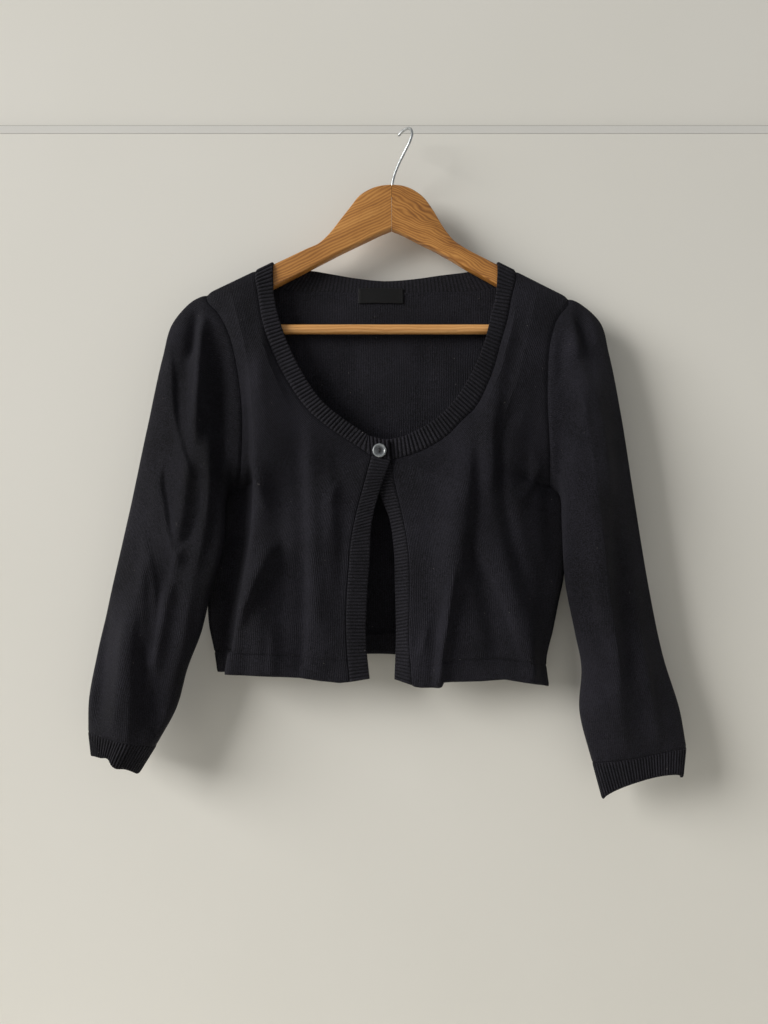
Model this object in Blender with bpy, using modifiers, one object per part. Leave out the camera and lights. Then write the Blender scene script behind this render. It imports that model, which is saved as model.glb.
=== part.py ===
"""Black knitted bolero jacket with tucked sleeve heads, hanging on a wooden coat hanger.

The cloth is a thin wall. Each cut piece is a sheet of points worked out from the garment's edge lines and
folds; the sheet is then given its thickness. Neighbouring pieces share the line of their seam, and each is
trimmed back from it by half the seam's gap. Bands and cuffs are strips with raised ribs.

Sizes are in millimetres and become metres as a mesh is made. X is to the viewer's right, Y away from the
viewer and Z up; the origin is the inside of the hook's top. Left and right are the wearer's.
"""
import math

import bmesh
import bpy
import numpy as np

MM = 0.001

# Cloth
KNIT = 1.6
RIB_KNIT = 1.6
RIB_RISE = 0.9
SEAM_GAP = 0.3
HEM_DEPTH = 24.0
HEM_STEP = 2.0
HEM_EXTRA = 1.2
LABEL_THICKNESS = 0.8

# Ribs measured on the garment: from crest to crest
NECK_RIB = 4.6
FRONT_RIB = 3.8
CUFF_RIB = 3.2

# Rows and columns of the sheets
SIDE_ROWS = 11
ARM_ROWS = 12
BAND_ROWS = 9
INNER_COLUMNS = 8
OUTER_COLUMNS = 4
SHOULDER_COLUMNS = 3
NECK_COLUMNS = 9
SLEEVE_ROWS = 21

# Hanger
BOARD = 12.0
JOINT_X = -15.5
JOINT_GAP = 0.3
BAR_HEIGHT = -253.0
BAR_RADIUS = 5.9
TENON_RADIUS = 3.5
TENON_LENGTH = 9.0
BORE_CLEARANCE = 0.3
BOARD_ROUNDING = 2.4
CLOTH_OVER_ARM = 0.8 + KNIT / 2
ROLL_Y = (5.8, 7.6)
ROLL_DROP = (0.5, 5.6)

# Hook
WIRE_RADIUS = 1.75
HOOK_BASE = (-14.4, -68.0)
HOOK_TURN = math.radians(52.0)
HOOK_LEAN = 0.207
HOOK_BURIED = 17.0

# Button and label
BUTTON_CENTRE = (-30.0, -26.6, -406.0)
BUTTON_RADIUS = 8.0
BUTTON_HOLE_RADIUS = 0.9
BUTTON_HOLE_APART = 3.6
LABEL_BOX = (-56.0, -1.0, -217.5, -198.5)

# Top of the hanger's two arms where the cloth lies on them: height at X = 0, and slope
ARM_LINE = {"right": (-94.0, 0.5), "left": (-114.4, -0.525)}

# Neck seam and free edge of the neck band, from the right front's end round the back to the left front's:
# seam x, y, z, then free edge x, y, z
NECK_LINE = [
    (-17, -24.5, -417, -19, -24.5, -394),
    (-39, -24.5, -411.5, -41, -24.5, -388.5),
    (-53, -24, -402, -44, -24, -386.5),
    (-82, -22.5, -383, -70, -22.5, -369),
    (-111, -19.5, -359, -96, -19.5, -347),
    (-136, -16, -325, -118, -16, -316),
    (-158, -13, -282, -139, -13, -274),
    (-170, -11, -246, -150.5, -11, -241),
    (-176, -9, -212, -157, -9, -209),
    ("right arm", -180, -158.5),
    (-170, 9.5, -196.5, -142, 9, -176),
    (-150, 10.3, -200, -128, 10, -175),
    (-128, 10.5, -202, -113, 10.5, -175.5),
    (-97, 10.5, -203, -92, 12, -178.5),
    (-60, 10.5, -203.5, -58, 13, -184),
    (-24, 10.5, -203.5, -24, 14, -187),
    (12, 10.5, -203.5, 11, 13, -185),
    (48, 10.5, -203, 45, 12, -180.5),
    (80, 10.3, -202, 72, 11, -177.5),
    (104, 10, -199, 88, 10, -175.5),
    (122, 9.5, -195.5, 100, 9, -174.5),
    ("left arm", 134, 112),
    (128, -9.5, -215, 109.5, -9.5, -211.5),
    (122, -11, -246, 102.5, -11, -241),
    (113, -12.5, -276, 95.5, -12.5, -269),
    (105, -14, -304.5, 86.5, -14, -294),
    (95, -15.5, -329, 76, -15.5, -315.5),
    (82, -17, -353, 63.5, -17, -336.5),
    (66, -19, -368.5, 50, -19, -353.5),
    (47, -20.5, -388, 34, -20.5, -368.5),
    (20, -21.5, -404.5, 11.5, -21.5, -382),
    (-5, -21, -413, -7, -21, -389.5),
    (-18, -20, -415, -19.5, -20, -391.5),
    (-40, -19.5, -412.5, -40.5, -19.5, -390),
]

# Front bands, hem to neck: seam x, y, z, then free edge x, y, z
FRONT_BAND_LINE = {
    "right": [
        (-63, -22, -665, -43, -20, -659),
        (-67, -23, -622, -45, -21, -622),
        (-67, -24, -577, -44, -22, -577),
        (-64, -24, -532, -41, -22, -532),
        (-60, -24, -493, -38.5, -23, -487),
        (-52, -24.5, -462, -31, -24, -457),
        (-39, -24.5, -411.5, -17, -24.5, -417),
    ],
    "left": [
        (6, -20, -666, -13, -16, -661),
        (2.5, -21, -609, -11, -12, -612),
        (4, -21, -560, -12, -11, -562),
        (1, -21, -509, -14, -13, -512),
        (-4, -21, -481, -18.5, -16, -484),
        (-10, -20.5, -455, -29, -18.5, -457),
        (-18, -20, -415, -40, -19.5, -412.5),
    ],
}

# Side seams, hem to underarm: x, y, z
SIDE_SEAM = {
    "right": [(-218, 5, -660), (-222, 5, -636), (-229, 5, -588), (-217, 5, -550), (-205, 5, -510),
              (-200, 4, -478), (-199, 3, -450)],
    "left": [(166, 4, -676), (163.5, 4, -648), (172, 4, -608), (177, 5, -560), (175.5, 4, -500),
             (173, 3, -446)],
}

# Armholes, underarm to just below the arm of the hanger: x, y, z. The tip's x ends each.
FRONT_ARMHOLE = {
    "right": [(-199, 3, -450), (-195, -6, -440), (-192.5, -13, -418), (-191, -16, -388), (-191.5, -17, -355),
              (-197, -16, -313), (-205, -14, -277), (-217, -10.5, -246)],
    "left": [(173, 3, -446), (171, -6, -436), (170, -13, -412), (168.5, -16, -380), (167.5, -16.5, -343),
             (169, -15.5, -307), (174, -13, -268), (184, -10, -241)],
}
BACK_ARMHOLE = {
    "right": [(-199, 3, -450), (-197, 9, -438), (-198, 11.5, -412), (-201, 12, -372), (-207, 12, -318),
              (-217, 10.5, -266), (-228, 9, -237)],
    "left": [(173, 3, -446), (171.5, 9, -434), (170.5, 11.5, -408), (170, 12, -370), (171, 12, -312),
             (177, 10.5, -266), (188, 9, -238)],
}
TIP_X = {"right": -238.0, "left": 197.0}
# Way that the cloth's outer side faces at the underarm, where fronts, back and sleeve meet
UNDERARM_FACING = {"right": (-0.45, 0.3, -0.85), "left": (0.7, 0.05, -0.7)}

# Forward ridge of each front, hem to shoulder: share of the rows, x, y
FRONT_RIDGE = {
    "right": [(0, -199, -33), (0.06, -196, -33), (0.12, -193, -34), (0.2, -188, -35), (0.32, -182, -35),
              (0.44, -180.5, -34), (0.52, -181, -31), (0.6, -183, -24), (0.72, -188, -19), (0.88, -205, -13),
              (0.95, -217, -8.5), (1, -224, 0)],
    "left": [(0, 143, -20), (0.1, 140, -23), (0.2, 130, -27), (0.32, 118, -30), (0.45, 110, -30),
             (0.6, 118, -26), (0.72, 138, -20), (0.88, 158, -13), (0.95, 170, -8.5), (1, 180, 0)],
}
# Share of the back's width over which it comes forward to its side edges
BACK_EASE = 0.16
# How sharply the cloth goes back from that ridge, how its columns are spaced there (under 1 closer to the
# side), and how far it turns round at the side seam itself
RETURN_POWER = {"right": 3.2, "left": 1.7}
RETURN_SPACING = {"right": 1.35, "left": 0.7}
SIDE_TURN = 8.0

# Hem lines of the fronts between band seam and side seam, and of the back: x, z
FRONT_HEM = {
    "right": [(-63, -665), (-75, -668.5), (-97, -667), (-119, -663.5), (-153, -661.5), (-199, -659.5),
              (-218, -660)],
    "left": [(6, -666), (16, -674), (38, -674.5), (44, -668.5), (83, -668), (111, -666), (143, -671), (166, -676)],
}
BACK_HEM = [(-218, -660), (-170, -650), (-110, -642), (-46, -640), (-11, -640), (50, -645), (110, -658),
            (166, -676)]

# Folds: top x, z, bottom x, z, half width, height toward the outside
FRONT_FOLDS = {
    "right": [
        (-176, -262, -166, -470, 9, 3.5),
        (-152, -505, -190, -608, 9, 5),
        (-112, -360, -100, -640, 11, 5),
        (-146, -400, -136, -672, 12, -4),
        (-72, -470, -84, -690, 9, -3.5),
        (-170, -540, -160, -700, 10, 3),
    ],
    "left": [
        (62, -430, 40, -600, 13, 5),
        (52, -545, 37, -700, 6, 4.5),
        (24, -600, 17, -690, 6, 2.5),
        (78, -520, 108, -660, 12, -5),
        (88, -390, 70, -560, 10, -3),
        (152, -380, 158, -560, 10, 3),
    ],
}
BACK_FOLDS = [
    (-190, -300, -176, -520, 16, 4),
    (-120, -330, -96, -700, 16, 4),
    (-30, -420, -44, -700, 14, 3.5),
    (36, -380, 60, -700, 16, 4.5),
    (118, -300, 130, -620, 15, 4),
    (-150, -470, -140, -700, 12, -3),
    (92, -470, 96, -700, 12, -3),
]

# Sleeves from armhole to cuff: share, outer x, z, inner x, z, outer edge's y, inner edge's y, half depth
SLEEVE_LINE = {
    "right": [
        (0.00, -238, -211, -199, -450, 0, 3, 10),
        (0.05, -257, -217, -207, -454, 0, 1, 12.5),
        (0.11, -276, -243, -210, -470, -4, -7, 14),
        (0.20, -286, -292, -208.5, -498, -11, -14, 14.5),
        (0.32, -299, -372, -213, -535, -16, -18, 14.5),
        (0.46, -316, -470, -223, -568, -17, -18, 14),
        (0.60, -334, -562, -233.5, -613, -16, -16, 14),
        (0.75, -348, -634, -249, -655, -15, -15, 16),
        (0.88, -355.5, -686, -260.5, -699, -15, -15, 19),
        (1.00, -355.5, -722, -281, -738, -16, -16, 22),
    ],
    "left": [
        (0.00, 197, -217, 173, -446, 0, 3, 10),
        (0.05, 213, -222, 181, -451, 0, 1, 12.5),
        (0.11, 233, -244, 184, -465, -4, -6, 14),
        (0.20, 241.5, -287, 182.5, -491, -11, -13, 14),
        (0.32, 252, -362, 182, -528, -16, -17, 14),
        (0.46, 264, -460, 184.5, -565, -16, -17, 14),
        (0.60, 277, -556, 194, -614, -14, -14, 14),
        (0.75, 292, -640, 201, -656, -12, -12, 15),
        (0.88, 308, -698, 197.5, -704, -12, -12, 14),
        (1.00, 314, -741, 210, -758, -12, -12, 13),
    ],
}
SLEEVE_FOLDS = {
    "right": [
        (-248, -222, -252, -300, 7, -6),
        (-240, -216, -243, -420, 8, 8),
        (-222, -258, -217, -350, 9, -7),
        (-246, -400, -262, -560, 9, 7),
        (-272, -300, -264, -420, 9, -5),
        (-284, -400, -272, -520, 8, -5),
        (-262, -540, -290, -700, 8, 7),
        (-310, -580, -322, -740, 11, 6),
        (-338, -560, -342, -730, 8, -5),
        (-284, -640, -276, -740, 9, -6),
        (-296, -520, -292, -640, 6, 4),
    ],
    "left": [
        (196, -228, 200, -300, 8, 7),
        (208, -222, 218, -330, 8, -7),
        (184, -262, 182, -330, 7, -4),
        (222, -290, 232, -480, 12, 5),
        (206, -420, 214, -640, 12, 4),
        (236, -480, 252, -690, 12, -4),
        (268, -620, 280, -750, 12, 3),
        (222, -650, 226, -750, 10, -3),
    ],
}
# Cuff's lower edge: outer x, z, inner x, z, their y, half depth, rise of the edge between them
CUFF_EDGE = {
    "right": (-353, -751, -300, -770, -15, -15, 21, 8),
    "left": (309.5, -774, 218, -790, -12, -12, 13, 8),
}

# Hanger's outline, from the joint out: distance, right top, right underside, left top, left underside
HANGER_ROWS = [
    (0, -71.5, -128, -71.5, -128),
    (14, -73, -134, -73, -134),
    (28, -78, -141, -79, -141.5),
    (41, -87.5, -147.5, -90, -148.5),
    (51, -101, -152.5, -105, -153.5),
    (63, -117, -158.5, -126, -160.5),
    (74, -132, -164.5, -141, -167),
    (88, -146, -172, -151.5, -176),
    (108, -156.5, -183, -162.7, -187.5),
    (164, -183.7, -213, -192, -220),
    (205, -204.2, -236, -213.5, -244),
]
HANGER_END = {"right": 226.0, "left": 218.0}
HANGER_LUG = 20.0
HANGER_LUG_Z = -263.0

COLOURS = {
    "black_knit": (0.016, 0.0155, 0.018, 1, 0.92, 0),
    "rib_knit": (0.018, 0.0175, 0.02, 1, 0.92, 0),
    "label_satin": (0.008, 0.008, 0.009, 1, 0.5, 0),
    "grey_button": (0.24, 0.26, 0.28, 1, 0.3, 0),
    "oiled_wood": (0.42, 0.2, 0.055, 1, 0.5, 0),
    "pale_wood": (0.62, 0.36, 0.13, 1, 0.5, 0),
    "zinc_wire": (0.5, 0.51, 0.53, 1, 0.35, 1),
}


def spline(knots, values, at):
    """Values of the smooth curve through the knots; a knot's slope comes from both its neighbours."""
    knots = np.asarray(knots, float)
    values = np.asarray(values, float)
    at = np.asarray(at, float)
    steps = np.diff(knots)
    slopes = np.diff(values, axis=0) / steps[:, None]
    tangents = np.vstack([slopes[:1], slopes[:1] * 0 + slopes[:-1], slopes[-1:]])[:len(knots)]
    weight = steps[1:, None] / (steps[:-1] + steps[1:])[:, None]
    tangents[1:-1] = slopes[:-1] * weight + slopes[1:] * (1 - weight)
    tangents[-1] = slopes[-1]
    k = np.clip(np.searchsorted(knots, at, side="right") - 1, 0, len(steps) - 1)
    w = ((at - knots[k]) / steps[k])[:, None]
    span = steps[k][:, None]
    return (values[k] * (2 * w**3 - 3 * w**2 + 1) + tangents[k] * span * (w**3 - 2 * w**2 + w)
            + values[k + 1] * (3 * w**2 - 2 * w**3) + tangents[k + 1] * span * (w**3 - w**2))


def lengths(points):
    """Running length along a line of points."""
    return np.concatenate([[0], np.cumsum(np.linalg.norm(np.diff(points[:, :3], axis=0), axis=1))])


def fine_line(points, steps=600):
    """Many points of the smooth line through a few, for measuring along it."""
    points = np.asarray(points, float)
    knots = lengths(points)
    return spline(knots, points, np.linspace(0, knots[-1], steps))


def at_lengths(line, distances):
    """Points of a finely divided line at given distances along it."""
    run = lengths(line)
    return np.stack([np.interp(distances, run, line[:, c]) for c in range(line.shape[1])], axis=1)


def stations(line, count, first=(), last=()):
    """Distances that divide a line into count steps: fixed ones at either end, even ones between."""
    total = lengths(line)[-1]
    even = count - len(first) - len(last)
    start = first[-1] if first else 0.0
    end = total - (last[0] if last else 0.0)
    middle = np.linspace(start, end, even + 1)
    head = [0.0] + list(first[:-1]) if first else []
    tail = [total - d for d in last[1:]] + [total] if last else []
    return np.array(head + list(middle) + tail)


def unit(vectors):
    """Vectors brought to length 1."""
    return vectors / np.maximum(np.linalg.norm(vectors, axis=-1, keepdims=True), 1e-9)


def arm_top(side, x):
    """Height of the hanger arm's upper face under the cloth."""
    height, slope = ARM_LINE[side]
    return height + slope * x


def over_arm(side, x, facing):
    """Three points where cloth rolls over the arm: on its face, on its edge, and at the seam on top."""
    top = arm_top(side, x) + CLOTH_OVER_ARM
    return [(x, facing * ROLL_Y[1], top - ROLL_DROP[1]), (x, facing * ROLL_Y[0], top - ROLL_DROP[0]), (x, 0, top)]


def neck_table():
    """Rows of the neck line with the rolls over both hanger arms written out."""
    rows = []
    marks = {}
    for row in NECK_LINE:
        if not isinstance(row[0], str):
            rows.append(row)
            continue
        side = row[0].split()[0]
        facing = -1 if side == "right" else 1
        seam = over_arm(side, row[1], facing) + over_arm(side, row[1], -facing)[1::-1]
        free = over_arm(side, row[2], facing) + over_arm(side, row[2], -facing)[1::-1]
        marks[side] = len(rows) + 2
        rows += [a + b for a, b in zip(seam, free)]
    return np.array(rows, float), marks


def neck_stretch(table, first, last, count, rolls):
    """Seam and free-edge points between two rows of the neck table, with the rows of each named roll kept."""
    knots = lengths(table)
    low = knots[first + 2] if "start" in rolls else knots[first]
    high = knots[last - 2] if "end" in rolls else knots[last]
    at = list(np.linspace(low, high, count + 1))
    if "start" in rolls:
        at = [knots[first], knots[first + 1]] + at
    if "end" in rolls:
        at = at + [knots[last - 1], knots[last]]
    return spline(knots, table, at)


def relief(x, z, folds):
    """Height of the folds at points of the front view; a fold dies out over its last quarter."""
    total = np.zeros_like(x)
    for top_x, top_z, low_x, low_z, width, height in folds:
        along = np.array([low_x - top_x, low_z - top_z], float)
        reach = np.hypot(*along)
        along /= reach
        share = ((x - top_x) * along[0] + (z - top_z) * along[1]) / reach
        off = (x - top_x) * along[1] - (z - top_z) * along[0]
        fade = np.clip(share / 0.25, 0, 1) * np.clip((1 - share) / 0.25, 0, 1)
        total += height * np.exp(-(off / width)**2) * fade * fade * (3 - 2 * fade)
    return total


def edge_fade(count, width):
    """0 at both ends of a run of points and 1 from the given number of points in."""
    index = np.arange(count)
    return np.clip(np.minimum(index, count - 1 - index) / width, 0, 1)


def front_sheet(side, neck_edge):
    """Sheet of one front: rows from hem to shoulder, columns from band seam to side seam and armhole."""
    hem_steps = (HEM_DEPTH, HEM_DEPTH + HEM_STEP)
    band = fine_line(np.array(FRONT_BAND_LINE[side], float)[:, :3])
    band = at_lengths(band, stations(band, BAND_ROWS, first=hem_steps))
    inner = np.vstack([band, neck_edge[1:]])
    outer = outer_edge(side, FRONT_ARMHOLE[side], -1)
    rows = len(inner)
    share = np.linspace(0, 1, rows)
    ridge = np.array(FRONT_RIDGE[side], float)
    ridge = spline(ridge[:, 0], ridge[:, 1:], share)
    cut = (ridge[:, 0] - inner[:, 0]) / (outer[:, 0] - inner[:, 0])
    near = np.linspace(0, 1, INNER_COLUMNS + 1)
    far = np.linspace(0, 1, OUTER_COLUMNS + 1)[1:]**RETURN_SPACING[side]
    across = np.concatenate([cut[:, None] * near, cut[:, None] + (1 - cut[:, None]) * far], axis=1)
    sheet = inner[:, None] * (1 - across[..., None]) + outer[:, None] * across[..., None]
    fall = 1 - (1 - far)**RETURN_POWER[side]
    sheet[:, :INNER_COLUMNS + 1, 1] = inner[:, 1:2] * (1 - near) + ridge[:, 1:] * near
    turn = SIDE_TURN * np.clip((SIDE_ROWS + 2 - np.arange(rows)) / 3, 0, 1)[:, None]
    flat_y = np.minimum(outer[:, 1:2], 5) - turn
    sheet[:, INNER_COLUMNS + 1:, 1] = ridge[:, 1:] * (1 - fall) + flat_y * fall + (outer[:, 1:2] - flat_y) * far**9
    flat = across[-3:, :, None]
    sheet[-3:] = inner[-3:, None] * (1 - flat) + outer[-3:, None] * flat
    hem = np.array(FRONT_HEM[side], float)
    order = np.argsort(hem[:, 0])
    drop = np.interp(sheet[0, :, 0], hem[order, 0], hem[order, 1]) - sheet[0, :, 2]
    sheet[:, :, 2] += drop * np.clip(1 - share / 0.35, 0, 1)[:, None]
    fade = edge_fade(sheet.shape[1], 2)[None, :] * np.clip((rows - 1 - np.arange(rows)) / 4, 0, 1)[:, None]
    sheet[:, :, 1] -= relief(sheet[:, :, 0], sheet[:, :, 2], FRONT_FOLDS[side]) * fade
    return sheet


def outer_edge(side, armhole, facing):
    """Side seam and one half of the armhole, from hem to shoulder tip."""
    seam = fine_line(SIDE_SEAM[side])
    seam = at_lengths(seam, stations(seam, SIDE_ROWS, first=(HEM_DEPTH, HEM_DEPTH + HEM_STEP)))
    roll = over_arm(side, TIP_X[side], facing)
    arm = fine_line(armhole + roll[:1])
    arm = at_lengths(arm, stations(arm, ARM_ROWS - 2))
    return np.vstack([seam, arm[1:], roll[1:]])


def back_sheet(neck_edge):
    """Sheet of the back: rows from hem to shoulders, columns from right to left side.

    The two rows that roll over the hanger's arms only run across the shoulders: between them the neck seam
    is the third row from the top, and the points above it are never used.
    """
    right = outer_edge("right", BACK_ARMHOLE["right"], 1)
    left = outer_edge("left", BACK_ARMHOLE["left"], 1)
    shares = np.linspace(0, 1, SHOULDER_COLUMNS + 1)[:, None]
    right_rows = [right[-3 + k] * (1 - shares) + neck_edge[2 - k] * shares for k in range(3)]
    left_rows = [neck_edge[-3 + k] * (1 - shares) + left[-3 + k] * shares for k in range(3)]
    top = np.vstack([right_rows[0], neck_edge[3:-3], left_rows[0]])
    columns = len(top)
    hem = np.array(BACK_HEM, float)
    u = np.linspace(0, 1, columns)
    low = np.stack([np.interp(u, [0, 1], [right[0, 0], left[0, 0]]), 12 - 8 * np.abs(2 * u - 1)**8, u], axis=1)
    low[:, 2] = np.interp(low[:, 0], hem[:, 0], hem[:, 1])
    low[0] = right[0]
    low[-1] = left[0]
    rows = len(right)
    share = lengths(right[:-2])
    v = (share / share[-1])[:, None, None]**1.3
    u = u[None, :, None]
    sides = right[:-2, None] * (1 - u) + left[:-2, None] * u
    ends = low[None] * (1 - v) + top[None] * v
    corners = (low[0] * (1 - u) + low[-1] * u) * (1 - v) + (top[0] * (1 - u) + top[-1] * u) * v
    sheet = np.empty((rows, columns, 3))
    sheet[:-2] = sides + ends - corners
    plain = ends[..., 1]
    near_right = np.clip(1 - u[..., 0] / BACK_EASE, 0, 1)**2
    near_left = np.clip(1 - (1 - u[..., 0]) / BACK_EASE, 0, 1)**2
    sheet[:-2, :, 1] = (plain + (right[:-2, 1:2] - plain[:, :1]) * near_right
                        + (left[:-2, 1:2] - plain[:, -1:]) * near_left)
    for k in (1, 2):
        sheet[-3 + k] = sheet[-3]
        sheet[-3 + k, :SHOULDER_COLUMNS + 1] = right_rows[k]
        sheet[-3 + k, -SHOULDER_COLUMNS - 1:] = left_rows[k]
    low_part = np.clip((rows - 3 - np.arange(rows)) / 4, 0, 1)[:, None]
    fade = edge_fade(columns, 2)[None, :] * low_part
    sheet[:, :, 1] += relief(sheet[:, :, 0], sheet[:, :, 2], BACK_FOLDS) * fade
    return sheet


def oval(rows, count):
    """Flattened rings: from the outer edge over the front to the inner edge and back behind."""
    angle = np.pi * np.arange(2 * count) / count
    across = ((1 - np.cos(angle)) / 2)[None, :]
    swell = np.sign(np.sin(angle)) * np.abs(np.sin(angle))**0.7
    x = rows[:, 0:1] * (1 - across) + rows[:, 2:3] * across
    y = rows[:, 4:5] * (1 - across) + rows[:, 5:6] * across - rows[:, 6:7] * swell
    z = rows[:, 1:2] * (1 - across) + rows[:, 3:4] * across
    return np.stack([x, y, z], axis=2)


def sleeve_sheet(side, front_edge, back_edge):
    """Sheet of a sleeve: rings from armhole to cuff, columns round the arm from the shoulder tip."""
    table = np.array(SLEEVE_LINE[side], float)
    share = np.linspace(0, 1, SLEEVE_ROWS + 1)**1.1
    rows = spline(table[:, 0], table[:, 1:], share)
    rings = oval(rows, ARM_ROWS)
    armhole = np.vstack([front_edge[::-1], back_edge[1:-1]])
    ease = np.clip(1 - share / 0.3, 0, 1)[:, None, None]**2
    sheet = rings + ease * (armhole - rings[0])[None]
    facing = np.where(np.arange(2 * ARM_ROWS) <= ARM_ROWS, -1.0, 0.7)[None]
    grow = np.clip(np.arange(SLEEVE_ROWS + 1) / 2, 0, 1)[:, None]
    edge = np.abs(np.sin(np.pi * np.arange(2 * ARM_ROWS) / ARM_ROWS))[None]**0.5
    sheet[:, :, 1] += relief(sheet[:, :, 0], sheet[:, :, 2], SLEEVE_FOLDS[side]) * facing * grow * edge
    return sheet


def cuff_ring(side, sleeve):
    """Lower edge of a cuff, with the folds of the sleeve's last ring carried on."""
    row = np.array([CUFF_EDGE[side]], float)
    ring = oval(row, ARM_ROWS)[0]
    plain = oval(np.array(SLEEVE_LINE[side], float)[-1:, 1:], ARM_ROWS)[0]
    ring[:, 1] += 0.6 * (sleeve[-1, :, 1] - plain[:, 1])
    ring[:, 2] += row[0, 7] * np.abs(np.sin(np.pi * np.arange(len(ring)) / ARM_ROWS))
    return ring


def cells(rows, columns, closed=False, notch=None):
    """Quads of a grid of points numbered row by row, without the cells of a notch in its upper edge."""
    faces = []
    for r in range(rows - 1):
        for c in range(columns if closed else columns - 1):
            if notch and r >= notch[0] and notch[1] <= c < notch[2]:
                continue
            d = (c + 1) % columns
            faces.append((r * columns + c, r * columns + d, (r + 1) * columns + d, (r + 1) * columns + c))
    return faces


def sheet_normals(sheet, faces, outward):
    """Normals of a sheet's points from the quads round them, turned to the side that outward names."""
    points = sheet.reshape(-1, 3)
    quads = np.array(faces)
    square = np.cross(points[quads[:, 2]] - points[quads[:, 0]], points[quads[:, 3]] - points[quads[:, 1]])
    sums = np.zeros_like(points)
    for corner in range(4):
        np.add.at(sums, quads[:, corner], unit(square))
    normals = unit(sums).reshape(sheet.shape)
    return normals if np.sum(normals * outward) > 0 else -normals


def share_normals(sheets, normals):
    """Gives points that lie on the same spot of a seam one common normal."""
    sums = {}
    for name, sheet in sheets.items():
        for point, normal in zip(sheet.reshape(-1, 3), normals[name].reshape(-1, 3)):
            key = tuple(np.round(point, 2))
            sums[key] = sums.get(key, 0) + normal
    for name, sheet in sheets.items():
        shared = [sums[tuple(np.round(point, 2))] for point in sheet.reshape(-1, 3)]
        normals[name] = unit(np.array(shared)).reshape(sheet.shape)


def even_normals(row):
    """Row of normals turned evenly from its first to its last, for a straight seam."""
    share = np.linspace(0, 1, len(row))[:, None]
    return unit(row[0] * (1 - share) + row[-1] * share)


def inward(edge, normals, neighbour, closed=False):
    """Unit steps from a seam into its piece, square to the seam and to the shared normal."""
    if closed:
        along = np.roll(edge, -1, axis=0) - np.roll(edge, 1, axis=0)
    else:
        along = np.gradient(edge, axis=0)
    step = unit(np.cross(along, normals))
    turn = np.sign(np.sum(step * (neighbour - edge), axis=1, keepdims=True))
    return step * turn


def trimmed(sheet, normals, seams, closed=False):
    """Sheet drawn back by half a seam's gap along its seams: each a line of cells and of their neighbours."""
    result = sheet.copy()
    for line, neighbours in seams:
        r, c = np.array(line).T
        nr, nc = np.array(neighbours).T
        result[r, c] += SEAM_GAP / 2 * inward(sheet[r, c], normals[r, c], sheet[nr, nc], closed)
    return result


def row_line(r, step, columns):
    """Cells of a row and the ones step rows away."""
    return [(r, c) for c in columns], [(r + step, c) for c in columns]


def column_line(c, step, rows):
    """Cells of a column and the ones step columns away."""
    return [(r, c) for r in rows], [(r, c + step) for r in rows]


def new_object(name, points, faces, colour):
    """Object with the given points and faces, faces turned outward, in the jacket's collection."""
    mesh = bpy.data.meshes.new(name)
    mesh.from_pydata([tuple(p) for p in np.asarray(points) * MM], [], faces)
    bm = bmesh.new()
    bm.from_mesh(mesh)
    bmesh.ops.delete(bm, geom=[v for v in bm.verts if not v.link_faces], context="VERTS")
    bmesh.ops.triangulate(bm, faces=bm.faces[:], quad_method="BEAUTY", ngon_method="BEAUTY")
    bmesh.ops.recalc_face_normals(bm, faces=bm.faces[:])
    if bm.calc_volume(signed=True) < 0:
        bmesh.ops.reverse_faces(bm, faces=bm.faces[:])
    bm.to_mesh(mesh)
    bm.free()
    return add_object(name, mesh, colour)


def add_object(name, mesh, colour):
    """Object for a mesh or curve, with its material."""
    obj = bpy.data.objects.new(name, mesh)
    obj.data.materials.append(material(colour))
    PARTS.objects.link(obj)
    return obj


def material(name):
    """Principled material of one of the named colours."""
    made = bpy.data.materials.get(name)
    if made is None:
        made = bpy.data.materials.new(name)
        made.use_nodes = True
        shader = made.node_tree.nodes["Principled BSDF"]
        shader.inputs["Base Color"].default_value = COLOURS[name][:4]
        shader.inputs["Roughness"].default_value = COLOURS[name][4]
        shader.inputs["Metallic"].default_value = COLOURS[name][5]
    return made


def halved(points, quads):
    """Each quad as two triangles along its shorter diagonal, so that both sides of a wall bend alike."""
    triangles = []
    for a, b, c, d in quads:
        if np.linalg.norm(points[a] - points[c]) <= np.linalg.norm(points[b] - points[d]):
            triangles += [(a, b, c), (a, c, d)]
        else:
            triangles += [(a, b, d), (b, c, d)]
    return triangles


def cloth_wall(name, sheet, normals, faces, outer, inner, colour="black_knit"):
    """Closed wall: the sheet moved out and in along its normals, joined round its open edges."""
    points = np.vstack([(sheet + normals * outer).reshape(-1, 3), (sheet - normals * inner).reshape(-1, 3)])
    shift = sheet.shape[0] * sheet.shape[1]
    faces = halved(sheet.reshape(-1, 3), faces)
    sides = {}
    for face in faces:
        for a, b in zip(face, face[1:] + face[:1]):
            sides[(a, b)] = sides.get((b, a), 0) == 0
            if (b, a) in sides:
                del sides[(a, b)]
                del sides[(b, a)]
    rims = [(b, a, a + shift, b + shift) for a, b in sides]
    under = [tuple(i + shift for i in reversed(face)) for face in faces]
    return new_object(name, points, faces + under + rims, colour)


def polyline_at(points, at):
    """Points at fractional places along straight steps between the given points."""
    index = np.arange(len(points))
    return np.stack([np.interp(at, index, points[:, c]) for c in range(points.shape[1])], axis=1)


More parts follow.
